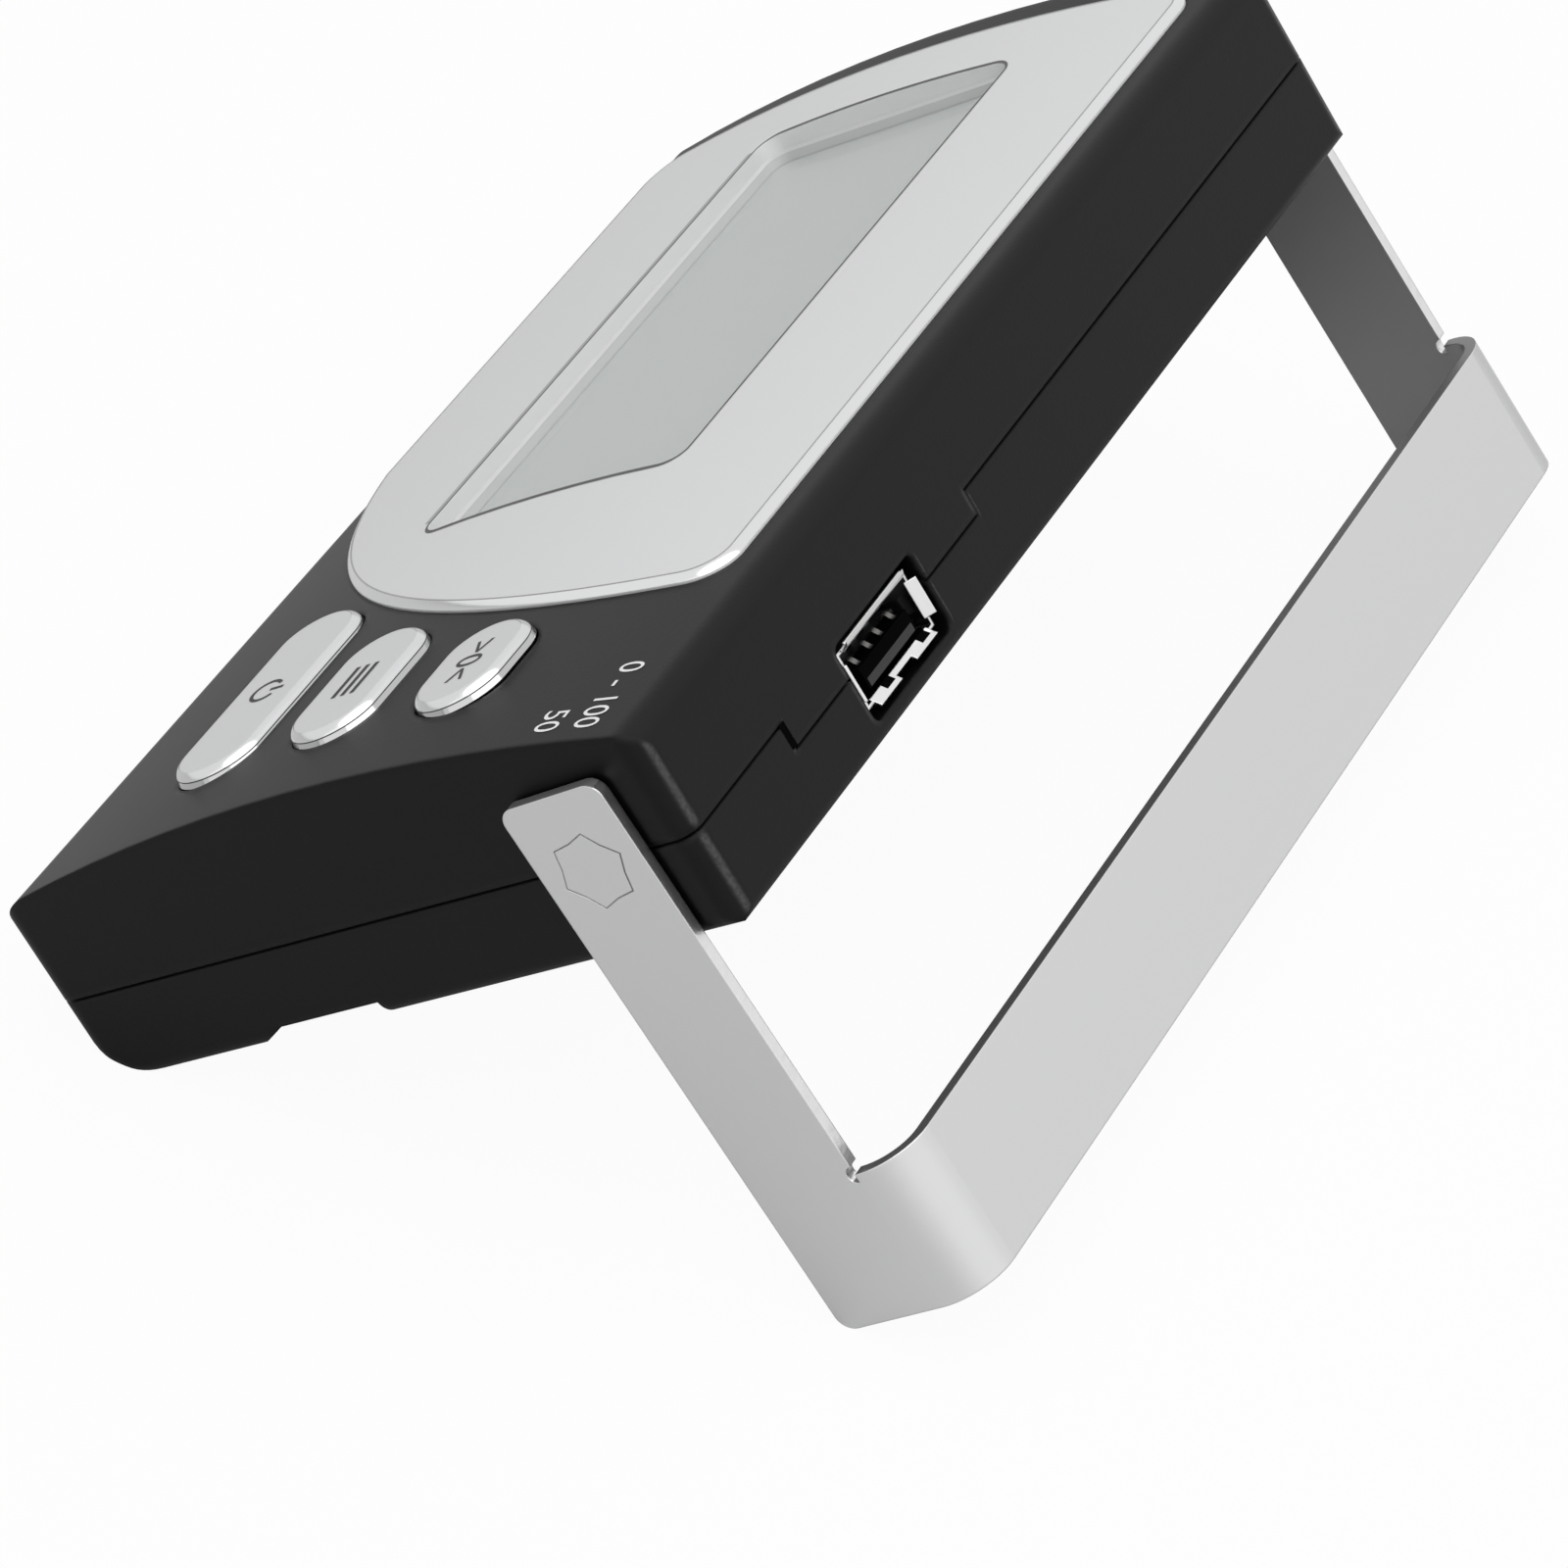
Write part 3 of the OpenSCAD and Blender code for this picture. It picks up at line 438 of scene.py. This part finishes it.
# Inks of the prints and fine lines, which are thin flat marks just over a surface
ink = {"roughness": 0.55, "specular": 0.15, "lift": 0.00003}


def inkMaterial(name, shade, specular=ink["specular"]):
    return plainMaterial(name, (shade, shade, shade), ink["roughness"], specular)


whiteInk = inkMaterial("whiteInk", 0.85)
beadInk = inkMaterial("beadInk", 0.62)
shadeInk = inkMaterial("shadeInk", 0.42)
# Painted shade round the pivots' stars
pinShadeInk = inkMaterial("pinShadeInk", 0.16)
lineInk = inkMaterial("lineInk", 0.12)
darkInk = inkMaterial("darkInk", 0.05)
barGrey = inkMaterial("barGrey", 0.045)
# Black of the tongue's nose, also used for painted shade at the seam's gap and the lip slots, and for the lower
# wall's painted reflection
noseBlackAndShade = inkMaterial("noseBlackAndShade", 0.001, specular=0.01)
print("stage: materials")


# A new piece from points in the case's frame, riding on a body
def addPiece(name, points, faces, material, body="terminal", smooth=False):
    mesh = bpy.data.meshes.new(name)
    mesh.from_pydata(casePoints(points).tolist(), [], faces)
    mesh.polygons.foreach_set("use_smooth", [smooth] * len(faces))
    mesh.materials.append(material)
    piece = bpy.data.objects.new(name, mesh)
    bpy.context.scene.collection.objects.link(piece)
    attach(piece, body)


# The four-sided faces between rows of points, with the last column joined to the first if the rows are closed
def stripFaces(rowCount, columnCount, closed):
    here = np.arange(rowCount * columnCount).reshape(rowCount, columnCount)
    following = np.roll(here, -1, axis=1)
    if not closed:
        here, following = here[:, :-1], following[:, :-1]
    corners = np.stack([here[:-1], following[:-1], following[1:], here[1:]], axis=-1)
    return corners.reshape(-1, 4).tolist()


# Closed rows of points, joined into a band
def addBand(name, rows, material, body="terminal", smooth=False):
    addPiece(name, np.concatenate(rows), stripFaces(len(rows), len(rows[0]), True), material, body, smooth)


# A flat mark with four corners, listed so that it faces outwards
def addMark(name, corners, material):
    addPiece(name, corners, [(0, 1, 2, 3)], material)


# An outline laid on the arch that lies some way over the face
def onArch(outline, lift):
    return np.column_stack([outline, faceHeight(outline[:, 1], lift)])


# An outline laid flat at a level over the back
def atLevel(outline, level):
    return np.column_stack([outline, np.full(len(outline), level)])


# A quarter of a superellipse as pairs of inset and rise, from the foot of a rim to its head
def rimSection(width, height, power, count):
    angles = np.linspace(0, math.pi / 2, count)
    insets = width * (1 - np.abs(np.cos(angles)) ** (2 / power))
    return list(zip(insets, height * np.sin(angles) ** (2 / power)))


# Bezel's rim and the fine line of painted shade along its head
rim = {
    "left": -0.06,
    "top": 0.0333,
    "bottom": -0.0338,
    "corner": 0.0045,
    "arcX": -0.017,
    "arcY": 0.0227,
    "arcRadius": 0.0583,
    "foot": 0.00025,
    "height": 0.00055,
    "width": 0.0007,
    "lineWidth": 0.00015,
    "power": 1.3,
    "rows": 7,
    "cornerSteps": 16,
    "arcSteps": 160,
    "tipSteps": 20,
    "sideSteps": 40,
}


# The bezel's outline as seen from the front, drawn in by an inset: four arcs joined by straight lines
def bezelOutline(inset):
    radius = rim["arcRadius"] - inset
    corner = rim["corner"] - inset
    low, high = rim["bottom"] + inset, rim["top"] - inset
    left = rim["left"] + inset
    tipY = high - corner
    tipX = rim["arcX"] + math.sqrt((radius - corner) ** 2 - (tipY - rim["arcY"]) ** 2)
    meet = math.atan2(tipY - rim["arcY"], tipX - rim["arcX"])
    start = math.asin((low - rim["arcY"]) / radius)
    arcs = [
        (left + corner, low + corner, corner, math.pi, 1.5 * math.pi, rim["cornerSteps"]),
        (rim["arcX"], rim["arcY"], radius, start, meet, rim["arcSteps"]),
        (tipX, tipY, corner, meet, math.pi / 2, rim["tipSteps"]),
        (left + corner, tipY, corner, math.pi / 2, math.pi, rim["cornerSteps"]),
    ]
    parts = []
    for x, y, size, first, last, steps in arcs:
        angles = np.linspace(first, last, steps)
        parts.append(np.stack([x + size * np.cos(angles), y + size * np.sin(angles)], axis=1))
    side = np.linspace(tipY, low + corner, rim["sideSteps"])[1:-1]
    parts.append(np.stack([np.full(len(side), left), side], axis=1))
    return np.concatenate(parts)


# The rim runs from the outline at its foot to the drawn-in outline at its head, and follows the arched face
def addRim():
    section = rimSection(rim["width"], rim["height"], rim["power"], rim["rows"])
    rows = [onArch(bezelOutline(inset), rim["foot"] + rise) for inset, rise in section]
    addBand("bezel_rim", rows, grainMaterial(rimSilver), smooth=True)


# The line of painted shade lies between two drawn-in outlines
def addRimLine():
    lift = rim["foot"] + rim["height"] + ink["lift"]
    insets = (rim["width"], rim["width"] + rim["lineWidth"])
    addBand("bezel_line", [onArch(bezelOutline(inset), lift) for inset in insets], shadeInk)


addRim()
addRimLine()

# Round the window: a fine dark line on the bezel's arched top, a pale bead at the foot of the bezel's wall, and a
# band of painted shade, paler than the line, beside it along the lower side
window = {
    "middle": (-0.0153, 0.0025),
    "halfSize": (0.035, 0.0152),
    "corner": 0.0022,
    "cornerSteps": 10,
    "sideSteps": 24,
    "lift": 0.00083,
    "lineWidths": (0.0005, 0.0002),
    "shadeWidth": 0.0006,
    "plateHeight": 0.02105,
    "beadHeight": 0.0003,
    "beadWidth": 0.0003,
    "beadDepth": 0.00098,
    "beadGap": 0.00002,
}


# The window's outline, grown by its own amount in x and in y: an arc at each corner, then a straight side
def windowOutline(grow):
    half, corner = window["halfSize"], window["corner"]
    arcs = []
    for signX, signY, first in ((1, -1, -90), (1, 1, 0), (-1, 1, 90), (-1, -1, 180)):
        angles = np.radians(np.linspace(first, first + 90, window["cornerSteps"]))
        x = signX * (half[0] - corner) + (corner + grow[0]) * np.cos(angles)
        y = signY * (half[1] - corner) + (corner + grow[1]) * np.sin(angles)
        arcs.append(np.stack([x, y], axis=1))
    steps = np.arange(1, window["sideSteps"])[:, None]
    parts = []
    for arc, following in zip(arcs, arcs[1:] + arcs[:1]):
        parts += [arc, arc[-1] + (following[0] - arc[-1]) * steps / window["sideSteps"]]
    return np.concatenate(parts) + np.array(window["middle"])


def addWindowLine():
    rows = [onArch(windowOutline(grow), window["lift"]) for grow in (window["lineWidths"], (0.0, 0.0))]
    addBand("window_line", rows, lineInk)


# The bead slopes from the wall down to the plate, then stands through the plate
def addWindowBead():
    width, gap = window["beadWidth"], window["beadGap"]
    section = ((gap, window["beadHeight"]), (width, gap), (width, -window["beadDepth"]))
    rows = [atLevel(windowOutline((-inset, -inset)), window["plateHeight"] + rise) for inset, rise in section]
    addBand("window_bead", rows, beadInk)


# A band of painted shade beside the line along the window's lower side
def addWindowShade():
    middle, half = window["middle"], window["halfSize"]
    reach = half[0] - window["corner"]
    near = middle[1] - half[1] - window["lineWidths"][1]
    far = near - window["shadeWidth"]
    corners = np.array([(-reach, near), (-reach, far), (reach, far), (reach, near)]) + (middle[0], 0)
    addMark("window_shade", onArch(corners, window["lift"]), shadeInk)


addWindowLine()
addWindowBead()
addWindowShade()
print("stage: bezel and window")

# A figure's height as a share of the built-in font's size, and the font's steps along a curve
font = {"figureShare": 0.7, "curveSteps": 4}


# The flat triangles of some figures, as points and faces around their middle, and their width and height
def figureShape(figures, height):
    curve = bpy.data.curves.new("figures", "FONT")
    curve.body = figures
    curve.size = height / font["figureShare"]
    curve.resolution_u = font["curveSteps"]
    helper = bpy.data.objects.new("figures", curve)
    bpy.context.scene.collection.objects.link(helper)
    mesh = helper.to_mesh()
    points = meshPoints(mesh)
    faces = [tuple(polygon.vertices) for polygon in mesh.polygons]
    helper.to_mesh_clear()
    bpy.data.objects.remove(helper)
    bpy.data.curves.remove(curve)
    low, high = points.min(axis=0), points.max(axis=0)
    points -= (low + high) / 2
    return points[:, :2], faces, (high - low)[:2]


# A bar along x or y, as points and faces
def barShape(x, y, width, height):
    w, h = width / 2, height / 2
    return np.array([(x - w, y - h), (x + w, y - h), (x + w, y + h), (x - w, y + h)]), [(0, 1, 2, 3)]


# A ring open at its top, as points and faces: two circles' arcs with a strip between them
def openRingShape(radius, thickness, gapDegrees, steps):
    angles = np.radians(np.linspace(90 + gapDegrees / 2, 450 - gapDegrees / 2, steps))
    circle = np.stack([np.cos(angles), np.sin(angles)], axis=1)
    points = np.concatenate([circle * (radius + thickness / 2), circle * (radius - thickness / 2)])
    return points, stripFaces(2, steps, False)


# Figures on the face, with their right ends in line: name, figures and the height of the row
facePrint = {
    "right": 0.0625,
    "height": 0.0024,
    "rows": [("face_range_figures", "0 - 100", 0.0313), ("face_step_figures", "50", 0.0273)],
}


def printFace(name, figures, middle):
    points, faces, size = figureShape(figures, facePrint["height"])
    points = points + np.array([facePrint["right"] - size[0] / 2, middle])
    addPiece(name, np.column_stack([points, faceHeight(points[:, 1]) + ink["lift"]]), faces, whiteInk)


for row in facePrint["rows"]:
    printFace(*row)

# Keys, by body, with their right ends in line
keyRow = {"right": 0.0567, "height": 0.009, "raise": 0.0011, "endSteps": 48}
keys = {
    "tare_key": {"length": 0.0131, "y": 0.013},
    "mode_key": {"length": 0.0168, "y": -0.0012},
    "power_key": {"length": 0.026, "y": -0.0154},
}


def keyMiddle(body):
    return np.array([keyRow["right"] - keys[body]["length"] / 2, keys[body]["y"]])


def keyTop(body):
    return float(faceHeight(keys[body]["y"])) + keyRow["raise"]


# A key's outline in place, drawn in by an inset: two half circles joined by straight lines
def keyOutline(body, inset):
    run, radius = (keys[body]["length"] - keyRow["height"]) / 2, keyRow["height"] / 2 - inset
    right = np.radians(np.linspace(-90, 90, keyRow["endSteps"]))
    left = right + math.pi
    outline = np.concatenate([
        np.stack([run + radius * np.cos(right), radius * np.sin(right)], axis=1),
        np.stack([radius * np.cos(left) - run, radius * np.sin(left)], axis=1),
    ])
    return outline + keyMiddle(body)


# A key's skin: a drafted wall just outside the key, in a darker copy of the rim's silver as painted shade, a
# dark line of painted shade, and a polished rim that is a quarter of a superellipse up to the flat top
keyRim = {
    "chamfer": 0.0006,
    "gap": 0.00002,
    "draft": 0.0002,
    "below": 0.0001,
    "line": 0.00012,
    "power": 1.3,
    "rows": 7,
}
keyRimSilver = grainMaterial(dict(rimSilver, name="keyRimSilver", colour=(0.66, 0.665, 0.67), roughness=0.2))
# The wall's silver is a darker copy of the rim's, a painted shade
shadedWallSilver = grainMaterial(dict(rimSilver, name="shadedWallSilver", colour=(0.5, 0.503, 0.506), roughness=0.1))


def addKeyRim(body):
    top, gap = keyTop(body), keyRim["gap"]
    shoulder = top - keyRim["chamfer"]
    lineLow = shoulder - keyRim["line"]
    wall = [(-keyRim["draft"], top - keyRow["raise"] - keyRim["below"]), (-gap, lineLow)]
    # The dark line between the wall and the rim is a painted shade
    line = [(-gap, lineLow), (-gap, shoulder)]
    curve = rimSection(keyRim["chamfer"], keyRim["chamfer"] + gap, keyRim["power"], keyRim["rows"])
    slope = [(inset - gap, shoulder + rise) for inset, rise in curve]
    sections = [("wall", wall, shadedWallSilver), ("line", line, lineInk), ("rim", slope, keyRimSilver)]
    for label, section, material in sections:
        rows = [atLevel(keyOutline(body, inset), level) for inset, level in section]
        addBand(f"{body}_{label}", rows, material, body, smooth=True)


for body in keys:
    addKeyRim(body)

# Marks of the keys: a nought between two points, three bars, and an open ring with a stem
keyMark = {
    "noughtHeight": 0.0028,
    "barLength": 0.0048,
    "barThickness": 0.0005,
    "barPitch": 0.0011,
    "ringRadius": 0.0015,
    "ringThickness": 0.0004,
    "ringGapDegrees": 70,
    "ringSteps": 40,
    "stemMiddle": 0.0013,
    "stemLength": 0.0016,
}


def noughtShapes():
    return [figureShape(">0<", keyMark["noughtHeight"])[:2]]


def barShapes():
    return [barShape(0, row * keyMark["barPitch"], keyMark["barLength"], keyMark["barThickness"])
            for row in (-1, 0, 1)]


def ringShapes():
    thickness = keyMark["ringThickness"]
    ring = openRingShape(keyMark["ringRadius"], thickness, keyMark["ringGapDegrees"], keyMark["ringSteps"])
    return [ring, barShape(0, keyMark["stemMiddle"], thickness, keyMark["stemLength"])]


def printKey(body, label, shapes):
    level = keyTop(body) + ink["lift"]
    for index, (points, faces) in enumerate(shapes):
        addPiece(f"{label}_{index}", atLevel(points + keyMiddle(body), level), faces, darkInk, body)


printKey("tare_key", "tare_mark", noughtShapes())
printKey("mode_key", "mode_mark", barShapes())
printKey("power_key", "power_mark", ringShapes())
print("stage: prints and keys")

# A dark line of painted shade round each pivot's star: a band along the outline of the pin's outer face,
# widest where it faces the back and the top, narrowing with the cosine of the angle from there. Its widths
# are shares of the star's size
pinLine = {
    "inner": 0.995,
    "thin": 0.012,
    "thick": 0.034,
    "facing": math.radians(30),
    "faceDepth": 0.00001,
    "digits": 7,
}


def addPinLine(name, side):
    points = meshPoints(nodes[name].data)
    reach = side * points[:, 0]
    outerFace = points[reach > reach.max() - pinLine["faceDepth"]]
    star = np.unique(np.round(outerFace, pinLine["digits"]), axis=0)
    middle = star.mean(axis=0)
    spokes = star - middle
    angles = np.arctan2(spokes[:, 2], spokes[:, 1])
    spokes, angles = spokes[np.argsort(angles)], np.sort(angles)
    middle[0] += side * ink["lift"]
    facing = np.clip(np.cos(angles - pinLine["facing"]), 0, None)
    widths = pinLine["thin"] + (pinLine["thick"] - pinLine["thin"]) * facing
    even = np.ones(len(spokes))
    scales = (pinLine["inner"] * even, pinLine["inner"] + widths)
    rows = [fromRow(middle + spokes * np.stack([even, scale, scale], axis=1)) for scale in scales]
    addBand(f"{name}_line", rows[::-side], pinShadeInk, "stand")


addPinLine("right_pivot_pin", 1)
addPinLine("left_pivot_pin", -1)

# The seam opens a little at the step near the right end: a black strip on the upper side paints the shade in
# that gap
seamStep = {"x": 0.0481, "half": 0.00042, "low": 0.0065, "high": 0.009}


def addSeamStep():
    left, right = seamStep["x"] - seamStep["half"], seamStep["x"] + seamStep["half"]
    low, high = seamStep["low"], seamStep["high"]
    y = case["height"] / 2 + ink["lift"]
    addMark("seam_step", [(left, y, low), (left, y, high), (right, y, high), (right, y, low)], noseBlackAndShade)


addSeamStep()
print("stage: pivots and seam")

# Socket details, in the case's frame around the middle of the socket's mouth
socket = {
    "mouth": (0.0301, 0.036081, 0.0055),
    "lipHalf": 0.00555,
    "lipRadius": 0.0009,
    "lipFoot": 0.0025,
    "lipSteps": 9,
    "noseHalf": 0.0046,
    "noseFront": -0.0003,
    "noseBack": -0.0025,
    "noseLow": -0.0019,
    "noseHigh": 0.0002,
    "barHalf": 0.0043,
    "barLow": -0.0018,
    "barHigh": -0.001,
    "wallHalf": 0.0061,
    "wallBack": -0.0025,
    "wallFront": -0.0001,
    "wallLevel": -0.00252,
    "springs": (-0.0035, -0.001, 0.001, 0.0035),
    "springWidth": 0.0006,
    "springRise": 0.0007,
    "springBack": -0.0026,
    "springLength": 0.0018,
    "springSteps": 15,
    "slots": ((0.0019, 0.0034), (-0.0051, -0.0036)),
    "slotReach": (-0.0003, 0.00045),
    "slotLevel": -0.00255,
    "slotSlope": math.radians(40),
}


def socketPoints(points):
    return np.asarray(points, dtype=float) + np.array(socket["mouth"])


# A profile in y and z, carried along x between two ends
def addSwept(name, ends, y, z, material):
    columns = [np.column_stack([np.full(len(y), x), y, z]) for x in ends]
    points = np.stack(columns, axis=1).reshape(-1, 3)
    addPiece(name, socketPoints(points), stripFaces(len(y), 2, False), material, smooth=True)


# The upper lip rolls over: a quarter of a circle about the lip's outer edge
def addRolledLip():
    radius, half = socket["lipRadius"], socket["lipHalf"]
    angles = np.linspace(0, math.pi / 2, socket["lipSteps"])
    y, z = radius * np.sin(angles), socket["lipFoot"] + radius * (1 - np.cos(angles))
    addSwept("socket_rolled_lip", (half, -half), y, z, steelMaterial)


# The tongue's nose is a box open at its back, with a paler bar along its front
def addTongueNose():
    half, front, back = socket["noseHalf"], socket["noseFront"], socket["noseBack"]
    low, high = socket["noseLow"], socket["noseHigh"]
    points = [(-half, front, low), (half, front, low), (half, front, high), (-half, front, high),
              (-half, back, low), (half, back, low), (half, back, high), (-half, back, high)]
    faces = [(0, 3, 2, 1), (3, 7, 6, 2), (0, 1, 5, 4), (1, 2, 6, 5), (0, 4, 7, 3)]
    addPiece("socket_tongue_nose", socketPoints(points), faces, noseBlackAndShade)
    half, low, high = socket["barHalf"], socket["barLow"], socket["barHigh"]
    y = front + ink["lift"]
    bar = [(-half, y, low), (-half, y, high), (half, y, high), (half, y, low)]
    addMark("socket_tongue_bar", socketPoints(bar), barGrey)


# The lower wall mirrors the dark inside: a black sheet paints that reflection, apart from a bright line
# along its edge
def addWallShade():
    half, level = socket["wallHalf"], socket["wallLevel"]
    back, front = socket["wallBack"], socket["wallFront"]
    points = [(-half, back, level), (half, back, level), (half, front, level), (-half, front, level)]
    addMark("socket_wall_shade", socketPoints(points), noseBlackAndShade)


# Each contact ends in a spring bump: a squared sine along y, as wide as the contact
def addSprings():
    half = socket["springWidth"] / 2
    shares = np.linspace(0, 1, socket["springSteps"])
    y = socket["springBack"] + socket["springLength"] * shares
    z = socket["noseHigh"] + socket["springRise"] * np.sin(math.pi * shares) ** 2
    for index, x in enumerate(socket["springs"]):
        addSwept(f"socket_spring_{index}", (x - half, x + half), y, z, contactMaterial)


# Slots at one end of both lower lips, which slope down and out: black marks paint the shade seen in them
def addLipSlots():
    near, far = socket["slotReach"]
    reach = np.array([near, near, far, far])
    y = reach * math.cos(socket["slotSlope"])
    z = socket["slotLevel"] - reach * math.sin(socket["slotSlope"]) + ink["lift"]
    for index, (first, last) in enumerate(socket["slots"]):
        corners = np.column_stack([(first, last, last, first), y, z])
        addMark(f"socket_lip_slot_{index}", socketPoints(corners), noseBlackAndShade)


addRolledLip()
addTongueNose()
addWallShade()
addSprings()
addLipSlots()
print("stage: socket")


# White floor, soft lamps and the camera. The floor's shade is the share of its shadow that the camera sees
studio = {
    "floorSide": 6.0,
    "floorColour": (0.75, 0.75, 0.75),
    "floorRoughness": 0.9,
    "floorShade": 0.05,
    "ambient": 0.45,
    "lampTarget": (0, 0, 0.03),
}


# One for rays of any of the named kinds, nought for others
def seenBy(tree, kinds):
    path = tree.nodes.new("ShaderNodeLightPath")
    seen = path.outputs[kinds[0]]
    for kind in kinds[1:]:
        either = addNode(tree, "ShaderNodeMath", operation="MAXIMUM")
        tree.links.new(seen, either.inputs[0])
        tree.links.new(path.outputs[kind], either.inputs[1])
        seen = either.outputs[0]
    return seen


def makeFloor():
    half = studio["floorSide"] / 2
    mesh = bpy.data.meshes.new("floor")
    mesh.from_pydata([(-half, -half, 0), (half, -half, 0), (half, half, 0), (-half, half, 0)], [], [(0, 1, 2, 3)])
    floor = bpy.data.objects.new("floor", mesh)
    bpy.context.scene.collection.objects.link(floor)
    material = plainMaterial("floorWhite", studio["floorColour"], studio["floorRoughness"], specular=0.0)
    tree = material.node_tree
    glow = addNode(tree, "ShaderNodeEmission", {"Color": (1, 1, 1, 1), "Strength": 1.0})
    part = addNode(tree, "ShaderNodeMath", {1: 1 - studio["floorShade"]}, operation="MULTIPLY")
    mix = tree.nodes.new("ShaderNodeMixShader")
    link = tree.links.new
    link(seenBy(tree, ("Is Camera Ray", "Is Transmission Ray")), part.inputs[0])
    link(part.outputs[0], mix.inputs["Fac"])
    link(tree.nodes["Principled BSDF"].outputs["BSDF"], mix.inputs[1])
    link(glow.outputs["Emission"], mix.inputs[2])
    link(mix.outputs["Shader"], tree.nodes["Material Output"].inputs["Surface"])
    mesh.materials.append(material)


def makeWorld():
    world = bpy.data.worlds.new("studioWorld")
    bpy.context.scene.world = world
    world.use_nodes = True
    tree = world.node_tree
    soft = tree.nodes["Background"]
    soft.inputs["Color"].default_value = (1, 1, 1, 1)
    soft.inputs["Strength"].default_value = studio["ambient"]
    bright = addNode(tree, "ShaderNodeBackground", {"Color": (1, 1, 1, 1), "Strength": 1.0})
    mix = tree.nodes.new("ShaderNodeMixShader")
    link = tree.links.new
    link(seenBy(tree, ("Is Camera Ray", "Is Glossy Ray", "Is Transmission Ray")), mix.inputs["Fac"])
    link(soft.outputs["Background"], mix.inputs[1])
    link(bright.outputs["Background"], mix.inputs[2])
    link(mix.outputs["Shader"], tree.nodes["World Output"].inputs["Surface"])


lamps = [
    {"name": "overhead", "place": (0.1, 0.25, 1.1), "size": 1.8, "power": 10.0},
    {"name": "backFill", "place": (0.25, 1.1, 0.6), "size": 1.6, "power": 0.4},
    {"name": "rightFill", "place": (1.1, 0.1, 0.5), "size": 1.4, "power": 1.5},
]


def makeLamp(lamp):
    data = bpy.data.lights.new(lamp["name"], "AREA")
    data.shape = "DISK"
    data.size = lamp["size"]
    data.energy = lamp["power"]
    item = bpy.data.objects.new(lamp["name"], data)
    bpy.context.scene.collection.objects.link(item)
    place = Vector(lamp["place"])
    item.location = place
    item.rotation_mode = "QUATERNION"
    item.rotation_quaternion = (Vector(studio["lampTarget"]) - place).to_track_quat("-Z", "Y")


# The photograph's camera: long lens, a little over a degree of roll
shot = {
    "place": (0.467426, 0.214223, 0.415010),
    "target": (0.014097, 0.003203, 0.009465),
    "rollDegrees": 1.18,
    "lens": 165.5,
    "sensor": 36.0,
    "nearest": 0.01,
    "farthest": 20.0,
}


def makeCamera():
    data = bpy.data.cameras.new("photoCamera")
    data.lens = shot["lens"]
    data.sensor_width = shot["sensor"]
    data.clip_start = shot["nearest"]
    data.clip_end = shot["farthest"]
    camera = bpy.data.objects.new("photoCamera", data)
    bpy.context.scene.collection.objects.link(camera)
    place = Vector(shot["place"])
    look = (Vector(shot["target"]) - place).to_track_quat("-Z", "Y").to_matrix().to_4x4()
    roll = Matrix.Rotation(math.radians(shot["rollDegrees"]), 4, "Z")
    camera.matrix_world = Matrix.Translation(place) @ look @ roll
    bpy.context.scene.camera = camera


makeFloor()
makeWorld()
for lamp in lamps:
    makeLamp(lamp)
makeCamera()
bpy.context.scene.view_settings.view_transform = "Standard"
print("stage: studio")
